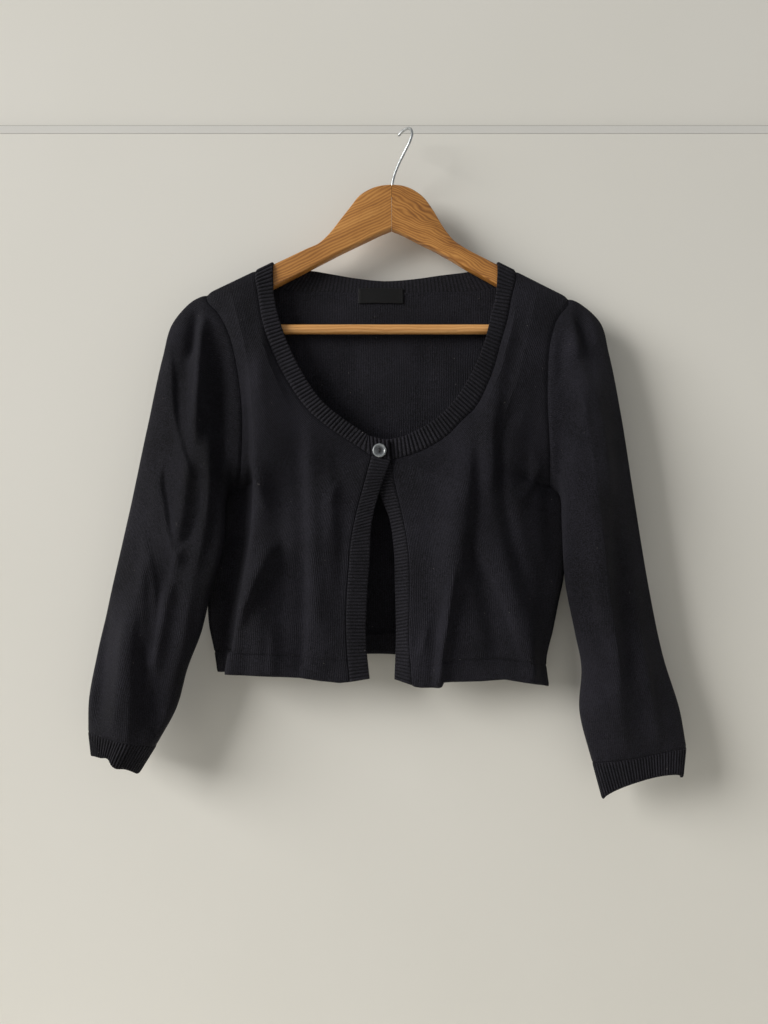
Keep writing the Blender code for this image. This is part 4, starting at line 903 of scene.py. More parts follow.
FRONT_CREASES = {
    "right": [
        [(-167, -247, 10, 20, 0), (-164, -301, 12, 22, 5), (-158, -371, 13, 24, 6.8),
         (-157, -429, 12, 20, 6.8), (-165, -464, 10, 14, 3.8), (-170, -498, 8, 12, 0)],
        [(-140, -504, 11, 3, 0), (-156, -534, 11, 2.6, 5), (-173, -570, 11, 2.6, 5.2),
         (-184, -597, 10, 4, 3), (-190, -621, 9, 5, 0)],
        [(-122, -348, 12, 7, 0), (-118, -464, 12, 7, -3.5), (-116, -555, 13, 6, -5),
         (-118, -648, 12, 7, -4.8)],
        [(-96, -371, 12, 8, 0), (-86, -464, 14, 8, 4.2), (-79, -555, 14, 7, 5), (-81, -632, 13, 7, 4)],
        [(-69, -429, 8, 6, 0), (-67, -509, 9, 6, -3), (-65, -599, 9, 6, -3), (-65, -652, 9, 6, -2)],
        [(-152, -599, 5, 8, 0), (-150, -627, 5, 8, 2.5), (-151, -656, 5, 8, 2.8)],
        [(-75, -436, 4, 5, 0), (-82, -455, 4, 6, 2.2), (-95, -478, 4, 6, 0)],
        [(-179, -383, 5, 10, 0), (-173, -429, 4, 9, 3.8), (-164, -462, 4, 8, 2.5), (-152, -481, 6, 8, 0)],
    ],
    "left": [
        [(140, -217, 18, 12, 0), (118, -271, 20, 13, 6.8), (104, -330, 20, 13, 8.2), (99, -383, 18, 10, 7.5),
         (98, -429, 16, 8, 5.2), (95, -464, 14, 10, 0)],
        [(141, -342, 14, 10, 0), (115, -377, 14, 8, -4.5), (110, -424, 14, 7, -6.2), (115, -481, 14, 8, -6.2),
         (131, -543, 12, 9, -4.5), (148, -590, 10, 10, 0)],
        [(74, -366, 16, 10, 0), (72, -424, 18, 8, 5.8), (68, -487, 18, 8, 7), (63, -532, 16, 7, 6.2),
         (58, -566, 12, 6, 3.2), (55, -590, 10, 6, 0)],
        [(68, -504, 11, 4, 0), (83, -534, 13, 4, -4.5), (101, -571, 15, 5, -5), (116, -610, 15, 6, -4.5),
         (126, -648, 12, 8, -1.8)],
        [(57, -534, 6, 2.4, 0), (52, -566, 6, 2, 4.2), (47, -601, 6, 2, 5.5), (41, -634, 6, 2, 5.8),
         (37, -667, 6, 2, 5)],
        [(26, -597, 6, 2.4, 0), (21, -621, 6, 2.2, 3.8), (15, -645, 6, 2.2, 3.8), (12, -665, 6, 2.2, 2.5)],
        [(162, -412, 6, 4, 0), (150, -439, 7, 4, 3.2), (127, -470, 9, 6, 0)],
        [(141, -577, 9, 6, 0), (145, -621, 9, 5, 3.5), (146, -660, 9, 5, 3.2)],
    ],
}
# Seam of each front band and its free edge, from the hem up: x, y, z of both
FRONT_BAND_LINE = {
    "right": [
        (-63, -22, -668.5, -41, -20, -665),
        (-67, -23, -622, -45, -21, -622),
        (-67, -24, -577, -44, -22, -577),
        (-64, -24, -532, -41, -22, -532),
        (-60, -24, -493, -38.5, -23, -487),
        (-52, -24.5, -462, -31, -24, -457),
        (-39, -24.5, -411.5, -17, -24.5, -417),
    ],
    "left": [
        (6, -20, -672, -13, -16, -666),
        (2.5, -21, -609, -11, -12, -612),
        (4, -21, -560, -12, -11, -562),
        (1, -21, -509, -14, -13, -512),
        (-4, -21, -481, -18.5, -16, -484),
        (-10, -20.5, -455, -29, -18.5, -457),
        (-18, -20, -415, -40, -19.5, -412.5),
    ],
}


def front_surface(side, neck):
    """Front: each row runs from the band's seam forward to the ridge and back to the side, the return being
    steepest beside the ridge; across a row a smooth curve joins thirteen such points."""
    band = fine_line(np.array(FRONT_BAND_LINE[side], float)[:, :3])
    band = finer(at_lengths(band, stations(band, BAND_ROWS, (HEM_DEPTH, HEM_DEPTH + HEM_STEP))))
    inner = np.vstack([band, neck[1:]])
    outer = outer_edge(side, FRONT_ARMHOLE[side], -1, True)
    rows = len(inner)
    r = np.arange(rows)[:, None] / FINE
    share = np.linspace(0, 1, rows)
    ridge = np.array(FRONT_RIDGE[side], float)
    ridge = spline(ridge[:, 0], ridge[:, 1:], share)
    cut = ((ridge[:, 0] - inner[:, 0]) / (outer[:, 0] - inner[:, 0]))[:, None]
    near = np.linspace(0, 1, INNER_COLUMNS + 1)
    far = np.linspace(0, 1, OUTER_COLUMNS + 1)[1:]**RETURN_SPACING[side]
    across = np.concatenate([cut * near, cut + (1 - cut) * far], axis=1)
    sheet = inner[:, None] * (1 - across[..., None]) + outer[:, None] * across[..., None]
    plain = sheet.copy()
    power = np.interp(share, RETURN_CHANGE, (RETURN_POWER[side], RETURN_POWER_ABOVE))[:, None]
    fall = 1 - (1 - far)**power
    sheet[:, :INNER_COLUMNS + 1, 1] = inner[:, 1:2] * (1 - near) + ridge[:, 1:] * near
    flat_y = np.minimum(outer[:, 1:2], 5) - SIDE_TURN * np.clip((SIDE_ROWS + 2 - r) / 3, 0, 1)
    sheet[:, INNER_COLUMNS + 1:, 1] = (ridge[:, 1:] * (1 - fall) + flat_y * fall
                                       + (outer[:, 1:2] - flat_y) * far**9)
    level = smooth_step(r - (ROWS - 3))[..., None]
    sheet = sheet * (1 - level) + plain * level
    hem = np.array(FRONT_HEM[side], float)
    hem = hem[np.argsort(hem[:, 0])]
    drop = np.interp(sheet[0, :, 0], hem[:, 0], hem[:, 1]) - sheet[0, :, 2]
    sheet[..., 2] += drop * np.clip(1 - share / HEM_DRAW, 0, 1)[:, None]
    count = sheet.shape[1]
    c = np.arange(0, count - 1 + 0.5 / FINE, 1 / FINE)
    sheet = spline(np.arange(count), sheet.transpose(1, 0, 2).reshape(count, -1), c)
    sheet = sheet.reshape(len(c), rows, 3).transpose(1, 0, 2)
    fade = np.clip(np.minimum(c, count - 1 - c) / 2, 0, 1)[None] * np.clip((ROWS - r) / 4, 0, 1)
    kernel = np.hanning(RIDGE_SOFTNESS[side] + 2)[1:-1]
    padded = np.pad(sheet[..., 1], ((0, 0), (RIDGE_SOFTNESS[side] // 2,) * 2), mode="edge")
    soft = np.stack([np.convolve(row, kernel / kernel.sum(), "valid") for row in padded])
    sheet[..., 1] += (soft - sheet[..., 1]) * fade
    sheet[..., 2] += (np.interp(sheet[0, :, 0], hem[:, 0], hem[:, 1]) - sheet[0, :, 2])[None] * (
        np.clip(1 - share / HEM_SHARE, 0, 1)[:, None]**2)
    x, z = sheet[..., 0].copy(), sheet[..., 2].copy()
    low = relief(x, z, FRONT_FOLDS[side]) + creases(x, z, FRONT_CREASES[side])
    low += slack(x, z, 11 + len(side), 55, 1.1)
    sheet[..., 1] -= low * fade
    corner = outer_edge(side, FRONT_ARMHOLE[side], -1) - outer
    sheet += corner[:, None] * ((c / (count - 1))**10)[None, :, None]
    return sheet


FRONT = {}
for side, neck in (("right", RIGHT_NECK), ("left", LEFT_NECK[::-1])):
    sheet = front_surface(side, neck[:, :3])
    normals = sheet_normals(sheet)
    normals *= -np.sign(np.median(normals[:60, :, 1]))
    normals = turned_edge(sheet, normals, edge_facing(side, -1), "end")
    normals = turned_edge(sheet, normals, shoulder_facing(side, sheet.shape[1]), "high")
    seam = sheet[:, 0].copy()
    hem_distance = edge_distance(sheet, ("low",))
    distance = edge_distance(sheet, ("start", "end", "high"))
    dip = seam_dip(distance) + seam_dip(edge_distance(sheet, ("end",)), ARMHOLE_GROOVE, ARMHOLE_REACH)
    sheet = sheet - normals * (dip + hem_tuck(hem_distance))[..., None]
    FRONT[side] = (seam, normals)
    half = rounded_edge(hem_distance)
    uv = np.stack([edge_distance(sheet, ("start",)), hem_distance], axis=-1)
    piece = wall("front_" + side, sheet, normals, half, half + HEM_LAYER * (hem_distance < HEM_DEPTH), uv)
    cloth(piece, JERSEY, side + "_front")


# Sleeves. Each is cut as one piece, seamed under the arm, its head gathered into the armhole in small tucks
# so that it stands a little above the shoulder. They hang nearly empty, and so fold along their length.
SLEEVE_ROWS = 21
# Share along the arm; x and z of its outer edge, and of its inner edge; y of both; half depth
SLEEVE_LINE = {
    "right": [
        (0.00, -238, -211, -199, -450, 0, 3, 10),
        (0.05, -257, -221, -207, -454, 0, 1, 12.5),
        (0.11, -276, -246, -210, -470, -4, -7, 14),
        (0.20, -286, -292, -208.5, -498, -11, -14, 14.5),
        (0.32, -299, -372, -213, -535, -16, -18, 14.5),
        (0.46, -316, -470, -223, -568, -17, -18, 14),
        (0.60, -334, -562, -233.5, -613, -16, -16, 14),
        (0.75, -348, -634, -249, -655, -15, -15, 16),
        (0.88, -355.5, -686, -260.5, -699, -15, -15, 19),
        (1.00, -354, -722, -281, -738, -16, -16, 22),
    ],
    "left": [
        (0.00, 197, -217, 173, -446, 0, 3, 10),
        (0.05, 213, -224.5, 181, -451, 0, 1, 12.5),
        (0.11, 233, -245, 184, -465, -4, -6, 14),
        (0.20, 241.5, -287, 182.5, -491, -11, -13, 14),
        (0.32, 252, -362, 182, -528, -16, -17, 14),
        (0.46, 264, -460, 184.5, -565, -16, -17, 14),
        (0.60, 277, -556, 194, -614, -14, -14, 14),
        (0.75, 292, -640, 201, -656, -12, -12, 15),
        (0.88, 308, -698, 197.5, -704, -12, -12, 14),
        (1.00, 314, -741, 210, -758, -12, -12, 13),
    ],
}
SLEEVE_FOLDS = {
    "right": [
        (-248, -222, -252, -300, 7, -6),
        (-240, -216, -243, -420, 8, 8),
        (-222, -252, -214, -450, 10, -5),
        (-246, -400, -262, -560, 9, 7),
        (-272, -300, -264, -420, 9, -5),
        (-284, -400, -272, -520, 8, -3),
        (-262, -540, -290, -700, 8, 7),
        (-310, -580, -322, -740, 11, 6),
        (-338, -560, -342, -730, 8, -5),
        (-284, -640, -276, -740, 9, -6),
        (-296, -520, -292, -640, 6, 4),
    ],
    "left": [
        (196, -228, 200, -300, 8, 7),
        (208, -222, 220, -350, 8, -4),
        (184, -262, 182, -330, 7, -4),
        (222, -290, 232, -480, 12, 5),
        (206, -420, 214, -640, 12, 4),
        (236, -480, 252, -690, 12, -4),
        (268, -620, 280, -750, 12, 3),
        (222, -650, 226, -750, 10, -3),
    ],
}
SLEEVE_CREASES = {
    "right": [
        [(-235, -231, 4, 5, 0), (-240, -254, 4, 6, 4.5), (-240, -287, 3.5, 7, 5),
         (-240, -347, 4, 8, 3.4), (-240, -394, 5, 8, 0)],
        [(-250, -237, 8, 5, 0), (-255, -275, 8, 6, -2.5), (-256, -347, 8, 6, -2.5), (-249, -406, 7, 6, 0)],
        [(-277, -281, 9, 2.4, 0), (-274, -309, 9, 3.4, 3.4), (-266, -376, 9, 3.4, 4.2),
         (-251, -420, 9, 3.4, 2.9), (-239, -452, 8, 4, 0)],
        [(-275, -408, 9, 2.8, 0), (-281, -438, 10, 3.4, 3.8), (-276, -469, 11, 3.4, 4.7),
         (-265, -515, 11, 3.4, 4), (-253, -539, 8, 4, 0)],
        [(-247, -431, 9, 4.5, 0), (-235, -459, 9, 4.5, -1.8), (-243, -498, 10, 4.5, -2.6),
         (-261, -524, 11, 4.5, -3), (-274, -577, 11, 4.5, -2.8), (-283, -632, 10, 4.5, -2.8),
         (-286, -687, 10, 4.5, -2.5), (-288, -711, 9, 4.5, -1.4)],
        [(-299, -486, 7, 2.4, 0), (-289, -532, 7, 3.4, 2.2), (-283, -568, 7, 3.4, 2.7),
         (-285, -627, 7, 3.4, 1.9), (-286, -666, 6, 3, 0)],
        [(-299, -521, 16, 8, 0), (-303, -588, 17, 7, 6.4), (-304, -644, 18, 7, 8), (-304, -704, 18, 7, 7.1),
         (-306, -736, 16, 8, 4.1)],
        [(-230, -376, 12, 6, 0), (-225, -429, 14, 6, 5.6), (-227, -486, 14, 6, 6.2),
         (-235, -532, 12, 6, 3.6), (-244, -568, 10, 7, 0)],
        [(-240, -549, 10, 8, 0), (-245, -588, 12, 7, 4.5), (-253, -644, 12, 7, 4.5),
         (-263, -693, 10, 8, 0)],
        [(-218, -249, 9, 4, 0), (-213, -323, 10, 5, -3.4), (-211, -394, 10, 5, -3.4), (-217, -463, 9, 6, 0)],
    ],
    "left": [
        [(184, -231, 3, 5, 0), (178, -247, 4, 5, -1.8), (171, -267, 4, 5, -1.4), (169, -290, 4, 5, 0)],
        [(198, -227, 3, 4, 0), (204, -245, 3, 5, -1.8), (208, -271, 3, 6, -1.2), (210, -307, 4, 6, 0)],
        [(217, -227, 3, 4, 0), (221, -242, 3, 5, 1.5), (226, -263, 3, 6, 1), (229, -290, 4, 6, 0)],
        [(193, -230, 12, 9, 0), (201, -257, 14, 9, 3), (212, -305, 16, 8, 3), (222, -370, 18, 8, 2.4),
         (228, -423, 18, 8, 2.4), (225, -486, 18, 8, 2.4), (222, -543, 18, 8, 2.4),
         (225, -610, 18, 9, 2.4), (233, -676, 18, 12, 2), (239, -725, 18, 16, 1.6)],
        [(214, -666, 10, 14, 0), (220, -696, 12, 16, 3.2), (227, -733, 12, 16, 2.4)],
        [(261, -532, 10, 5, 0), (263, -599, 10, 5, 2.6), (271, -676, 10, 5, 2.6), (280, -731, 9, 6, 0.8)],
        [(204, -532, 8, 5, 0), (207, -577, 8, 5, -2.6), (217, -621, 8, 6, -2.8), (230, -660, 8, 7, 0)],
    ],
}
# Where a rib is sewn on, the cloth turns in less than at other seams, and nearer the seam
RIB_SEAM = {"depth": 0.5, "reach": 1.4}
# Long sharp fold of the left sleeve: share along the arm, place across from the outer edge, and how much it
# rules the form
SLEEVE_TENT = {
    "left": [(0, 0.42, 0), (0.07, 0.43, 0.4), (0.14, 0.5, 0.9), (0.3, 0.53, 1), (0.5, 0.56, 1),
             (0.7, 0.62, 1), (0.86, 0.66, 0.7), (1, 0.66, 0.25)],
}
TENT_PEAK = 1.85
# Lower edge of each cuff: x and z of its outer end, and of its inner end; y of both; half depth; how much its
# middle is higher
CUFF_EDGE = {
    "right": (-350, -751, -300, -770, -15, -15, 21, 8),
    "left": (309, -775, 220, -798, -12, -12, 13, 12),
}


def oval(rows, angle, tent=None):
    """Flattened rings: from the outer edge over the front to the inner edge and back behind. Where a tent
    rules, the front is two plain slopes that meet in its crest instead."""
    across = ((1 - np.cos(angle)) / 2)[None, :]
    swell = (np.sign(np.sin(angle)) * np.abs(np.sin(angle))**0.7)[None, :]
    if tent is not None:
        crest, rule = tent[:, 0:1], tent[:, 1:2] * (np.sin(angle) > 0)
        outer_slope = np.clip(across / crest, 0, 1)
        inner_slope = np.clip((1 - across) / (1 - crest), 0, 1)**0.55
        peak = TENT_PEAK * outer_slope * inner_slope
        swell = swell * (1 - rule) + peak * rule
    x = rows[:, 0:1] * (1 - across) + rows[:, 2:3] * across
    y = rows[:, 4:5] * (1 - across) + rows[:, 5:6] * across - rows[:, 6:7] * swell
    z = rows[:, 1:2] * (1 - across) + rows[:, 3:4] * across
    return np.stack([x, y, z], axis=2)


def sleeve_surface(side, armhole):
    """Sleeve: flattened rings along the arm, drawn to the armhole over the first third, with its folds."""
    table = np.array(SLEEVE_LINE[side], float)
    share = (np.arange(SLEEVE_ROWS * FINE + 1) / (SLEEVE_ROWS * FINE))**1.1
    rows = spline(table[:, 0], table[:, 1:], share)
    angle = np.pi * np.arange(2 * ARM_ROWS * FINE) / (ARM_ROWS * FINE)
    tent = np.array(SLEEVE_TENT[side], float) if side in SLEEVE_TENT else None
    rings = oval(rows, angle, None if tent is None else between(share, tent[:, 0], tent[:, 1:]))
    ease = np.clip(1 - share / 0.3, 0, 1)[:, None, None]**2
    sheet = rings + ease * (armhole - rings[0])[None]
    facing = np.where(np.sin(angle) >= -1e-9, -1.0, 0.7)[None]
    grow = np.clip(np.arange(len(share)) / FINE / 2, 0, 1)[:, None]
    edge = np.abs(np.sin(angle))[None]**0.5
    x, z = sheet[..., 0].copy(), sheet[..., 2].copy()
    low = relief(x, z, SLEEVE_FOLDS[side]) + creases(x, z, SLEEVE_CREASES[side])
    low += slack(x, z, 21 + len(side), 50, 1.3)
    sheet[..., 1] += low * facing * grow * edge
    return sheet, rings[-1]


SLEEVE = {}
for side in ("right", "left"):
    front_edge = outer_edge(side, FRONT_ARMHOLE[side], -1)[SIDE_ROWS * FINE:]
    back_edge = outer_edge(side, BACK_ARMHOLE[side], 1)[SIDE_ROWS * FINE:]
    armhole = np.vstack([front_edge[::-1], back_edge[1:-1]])
    sheet, plain_end = sleeve_surface(side, armhole)
    normals = sheet_normals(sheet, True)
    out = sheet - sheet.mean(axis=1, keepdims=True)
    normals *= np.sign(np.sum(normals * out))
    ahead, behind = [edge_facing(side, facing)[SIDE_ROWS * FINE:] for facing in (-1, 1)]
    normals = turned_edge(sheet, normals, np.vstack([ahead[::-1], behind[1:-1]]), "low")
    distance = edge_distance(sheet, ("low",))
    bottom = sheet[-1].copy()
    end_normals = normals[-1].copy()
    dip = seam_dip(distance) + seam_dip(distance, ARMHOLE_GROOVE, ARMHOLE_REACH)
    dip += seam_dip(edge_distance(sheet, ("high",)), **RIB_SEAM)
    sheet = sheet - normals * dip[..., None]
    round_arm = np.cumsum(np.linalg.norm(np.diff(sheet, axis=1, prepend=sheet[:, :1]), axis=2), axis=1)
    uv = np.stack([round_arm, edge_distance(sheet, ("low",))], axis=-1)
    half = np.full(sheet.shape[:2], KNIT / 2)
    SLEEVE[side] = (bottom, end_normals, plain_end)
    piece = wall("sleeve_" + side, sheet, normals, half, half, uv, closed=True)
    cloth(piece, JERSEY, side + "_sleeve")


# Cuffs. Ribbed tubes knitted one plain, one purl, sewn to the gathered end of each sleeve; the lower edge is
# the rib's own closed edge. The ribs are close, with narrow furrows between that carry painted shade.
RIB_RISE = 1.1
CUFF_RIB = 3.2
CUFF_SINK = 0.8
# The front of the right cuff swings forward in a low fold: x and softness of its start and of its end, depth
FOLD_START = (-326, 6)
FOLD_END = (-300, 18)
FOLD_DEPTH = 4.5
# Its lower edge is notched there: x, width and height of each wave
CUFF_NOTCH = [(-328, 5, 2.5), (-316, 6, -2.5)]
RIB_SAMPLES = 10
RIB_UNIT = 3.2
# Both rib knits carry painted shade in their furrows: the ribbed one keeps 0.45 of its colour there, the flat
# one 0.65.
RIB_KNIT = fine_jersey("ribbed_black_jersey", RIB_UNIT, 1.9, "#09090b", "#2a2930", 0.45)
RIB_FLAT = fine_jersey("flat_ribbed_black_jersey", RIB_UNIT, 1.9, "#09090b", "#2b2a31", 0.65)


def rib_height(phase):
    """Round ribs: a full curve at each rib and a narrow furrow between."""
    return (np.abs(np.sin(np.pi * phase)) + 1e-4)**0.7


def ribbed(name, seam, seam_normals, free, pitch, node, closed=False, sink=0.0, rise=RIB_RISE,
           knit=RIB_KNIT):
    """Ribbed strip between a seam line and a free edge: straight lines join them, ribs lie along those lines.

    The outer face stands out by half the knit and the ribs; the inner face has its ribs where the outer has
    furrows, half as high. Both faces meet in a round free edge and turn in at the seam.
    """
    if closed:
        seam = np.vstack([seam, seam[:1]])
        seam_normals = np.vstack([seam_normals, seam_normals[:1]])
        free = np.vstack([free, free[:1]])
    run = lengths((seam + free) / 2)
    ribs = round(run[-1] / pitch)
    at = np.linspace(0, run[-1], ribs * RIB_SAMPLES + 1)
    near = between(at, run, seam)
    near_normals = unit(between(at, run, seam_normals))
    far = between(at, run, free)
    if closed:
        round_again = np.vstack([far[-2:-1], far, far[1:2]])
        along = round_again[2:] - round_again[:-2]
    else:
        along = np.gradient(far, axis=0)
    far_normals = unit(np.cross(along, far - near))
    far_normals *= np.sign(np.sum(far_normals * near_normals, axis=1, keepdims=True))
    smooth = np.ones(2 * RIB_SAMPLES + 1) / (2 * RIB_SAMPLES + 1)
    padded = np.pad(far_normals, ((RIB_SAMPLES, RIB_SAMPLES), (0, 0)), mode="wrap" if closed else "edge")
    far_normals = unit(np.stack([np.convolve(way, smooth, "valid") for way in padded.T], axis=1))
    if closed:
        at, near, near_normals, far, far_normals = [
            part[:-1] for part in (at, near, near_normals, far, far_normals)]
    reach = np.linalg.norm(far - near, axis=1).mean()
    t = np.concatenate([[0, 0.05, 0.11], np.linspace(0.22, 0.9, 5), [1 - 1.2 / reach, 1 - 0.35 / reach, 1]])
    sheet = near[None] * (1 - t[:, None, None]) + far[None] * t[:, None, None]
    normals = unit(near_normals[None] * (1 - t[:, None, None]) + far_normals[None] * t[:, None, None])
    phase = at / (run[-1] / ribs)
    down = t * reach
    ease = smooth_step(down / 2.5)[:, None] * (1 - 0.65 * smooth_step((down - reach + 1.6) / 1.6))[:, None]
    half = rounded_edge(reach - down)[:, None]
    wander = 1 + 0.12 * np.sin(phase * 1.7) + 0.08 * np.sin(phase * 0.43 + 1)
    outer = half + rise * rib_height(phase)[None] * ease * wander[None]
    inner = half + 0.45 * rise * rib_height(phase + 0.5)[None] * ease
    inward = seam_dip(down, **RIB_SEAM) + sink * smooth_step(down / 3)
    sheet = sheet - normals * inward[:, None, None]
    uv = np.stack(np.broadcast_arrays(RIB_UNIT * phase[None], down[:, None]), axis=-1)
    piece = wall(name, sheet, normals, outer, inner, uv, closed=closed)
    cloth(piece, knit, node)


for side in ("right", "left"):
    bottom, end_normals, plain = SLEEVE[side]
    row = np.array([CUFF_EDGE[side]], float)
    angle = np.pi * np.arange(2 * ARM_ROWS * FINE) / (ARM_ROWS * FINE)
    ring = oval(row, angle)[0]
    ring[:, 1] += 0.6 * (bottom[:, 1] - plain[:, 1])
    ring[:, 2] += row[0, 7] * np.abs(np.sin(angle))
    if side == "right":
        ahead = np.clip(np.sin(angle), 0, 1)**0.5
        started = smooth_step((ring[:, 0] - FOLD_START[0]) / FOLD_START[1])
        ring[:, 1] -= FOLD_DEPTH * started * smooth_step((FOLD_END[0] - ring[:, 0]) / FOLD_END[1]) * ahead
        for place, width, height in CUFF_NOTCH:
            ring[:, 2] += height * np.exp(-((ring[:, 0] - place) / width)**2)
    ribbed("cuff_" + side, bottom, end_normals, ring, CUFF_RIB, side + "_cuff", closed=True,
           sink=CUFF_SINK)


# Front bands. Ribbed strips sewn along the front edges. The right one laps over the left one at the top, where
# the button, sewn to the left one, comes through it.
FRONT_RIB = 3.8
FRONT_RIB_RISE = 0.7
for side in ("right", "left"):
    seam, normals = [part[:BAND_ROWS * FINE + 1] for part in FRONT[side]]
    pairs = fine_line(FRONT_BAND_LINE[side])
    free = at_lengths(pairs, lengths(seam) / lengths(seam)[-1] * lengths(pairs)[-1])[:, 3:]
    ribbed("front_band_" + side, seam, normals[:, 0], free, FRONT_RIB, side + "_front_band",
           rise=FRONT_RIB_RISE, knit=RIB_FLAT)


# Neck band. One ribbed strip from front edge to front edge round the back of the neck, a little shorter than
# the seam that it is sewn to, so that it stands inward. It rolls over both arms of the hanger.
NECK_RIB = 4.6
line = np.vstack([finer(TABLE[:2])[:-1], RIGHT_NECK, BACK_NECK[1:], LEFT_NECK[1:], finer(TABLE[-2:])[1:]])
behind = np.vstack([BACK_NORMALS[top_row:, shoulder][::-1], BACK_NORMALS[top_row, shoulder + 1:-shoulder - 1],
                    BACK_NORMALS[top_row:, -shoulder - 1]])
right = FRONT["right"][1][BAND_ROWS * FINE:, 0]
left = FRONT["left"][1][BAND_ROWS * FINE:, 0][::-1]
neck_normals = np.vstack([np.repeat(right[:1], FINE, axis=0), right, behind[1:-1], left,
                          np.repeat(left[-1:], FINE, axis=0)])
ribbed("neck_band_rib", line[:, :3], neck_normals, line[:, 3:], NECK_RIB, "neck_band")


# Label. A woven slip of black satin in the back of the neck, folded under at both ends and sewn down there
# with a few stitches. It is left bare.
LABEL_STITCH = 2.2
LABEL_FOLD = 4.5
# How far its middle bows forward and arches up, half its thickness, and what its folded ends add to that
LABEL_BOW = 0.35
LABEL_ARCH = 0.5
LABEL_HALF = 0.4
LABEL_END_HALF = 0.12

low, high = [np.array(corner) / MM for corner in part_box("neck_label")]
middle = (low + high) / 2
u = np.linspace(0, 1, 61)[None, :]
v = np.linspace(0, 1, 21)[:, None]
bow = LABEL_BOW * np.sin(np.pi * u) * (1 - 0.4 * v)
sheet = np.stack(np.broadcast_arrays(low[0] + (high[0] - low[0]) * u, middle[1] - bow + 0.0 * v,
                                     low[2] + (high[2] - low[2]) * v + LABEL_ARCH * np.sin(np.pi * u)), axis=-1)
normals = sheet_normals(sheet)
normals *= -np.sign(normals[10, 30, 1])
from_end = np.minimum(u, 1 - u) * (high[0] - low[0])
edge = np.minimum(from_end, np.minimum(v, 1 - v) * (high[2] - low[2]))
ends = np.exp(-((from_end - LABEL_STITCH) / 0.5)**2) + 0 * v
half = LABEL_HALF * np.sqrt(np.clip(edge / 0.5, 0.15, 1)) + LABEL_END_HALF * (from_end < LABEL_FOLD)
uv = np.stack([sheet[..., 0], sheet[..., 2]], axis=-1)
slip = wall("label", sheet - normals * 0.25 * ends[..., None], normals, half, half, uv)
SATIN, tree, shader = new_material("woven_black_satin")
place = add_node(tree, "UVMap", {"uv_map": "cloth"}).outputs[0]
weft, warp = [add_node(tree, "TexWave", {"bands_direction": way},
                       {"Vector": place, "Scale": scale, "Distortion": 0.4}).outputs["Fac"]
              for way, scale in (("Y", 80.0), ("X", 50.0))]
cross = add_node(tree, "Math", TIMES_PLUS, {0: warp, 1: 0.4, 2: weft}).outputs[0]
bump = add_node(tree, "Bump", links={"Height": cross, "Strength": 0.3, "Distance": 0.0002}).outputs[0]
shade = colour_ramp(tree, cross, [(0.2, "#070708"), (1.0, "#121214")])
set_inputs(tree, shader, {"Base Color": shade, "Normal": bump, "Roughness": 0.5, "Specular IOR Level": 0.22})
cloth(slip, SATIN, "neck_label")


# Button. Two-hole button of pearly grey polyester, turned with a raised rim, sewn on through both holes; it
# stays fastened through the stitched hole in the right band.
BUTTON_CENTRE = np.array([-30.0, -26.6, -406.0])
BUTTON_HOLES = 1.8
BUTTON_HOLE_RADIUS = 0.9
BUTTON_HOLE_DEPTH = 1.2
BUTTON_SIDES = 96
# Radius of the flat middle, which has finer steps for the holes
BUTTON_FLAT = 4.4
# Radius and height from the middle of the top, over the rim, to the edge of the underside
BUTTON_PROFILE = [(0.0, 1.55), (2.6, 1.6), (4.4, 1.7), (5.2, 1.9), (5.8, 2.3), (6.4, 2.6), (6.9, 2.62),
                  (7.5, 2.35), (7.9, 1.8), (8.0, 1.2), (7.9, 0.6), (7.4, 0.15), (6.6, 0.0)]
# Radius of the button's thread and where its turns lie beside the middle; radius of the label's thread
BUTTON_THREAD = 0.24
THREADS_ASIDE = (-0.45, 0.0, 0.45)
LABEL_THREAD = 0.16
THREAD_SIDES = 8

profile = np.array(BUTTON_PROFILE)
run = np.concatenate([[0], np.cumsum(np.hypot(*np.diff(profile, axis=0).T))])
steps = np.concatenate([np.linspace(0, BUTTON_FLAT, 44), np.linspace(BUTTON_FLAT + 0.1, run[-1], 40)])
profile = spline(run, profile, steps)
turn = 2 * np.pi * np.arange(BUTTON_SIDES) / BUTTON_SIDES
radius = np.maximum(profile[:, 0], 0.02)[:, None]
x = radius * np.cos(turn)
z = radius * np.sin(turn)
hole = np.minimum(np.hypot(x, z - BUTTON_HOLES), np.hypot(x, z + BUTTON_HOLES))
deep = smooth_step((BUTTON_HOLE_RADIUS + 0.12 - hole) / 0.24) * (steps < BUTTON_FLAT)[:, None]
points = np.stack([x, BUTTON_HOLE_DEPTH * deep - profile[:, 1:], z], axis=-1).reshape(-1, 3) + BUTTON_CENTRE
button = add_piece("pearl_button", points, capped_faces(len(profile), BUTTON_SIDES))
face_out(button)
PEARL_WITH_RIM_HIGHLIGHT, tree, shader = new_material("pearly_grey_polyester_rim_highlight")
place = add_node(tree, "TexCoord").outputs["Object"]
cloud = add_node(tree, "TexNoise", links={"Vector": place, "Scale": 260.0, "Detail": 3.0, "Distortion": 1.2})
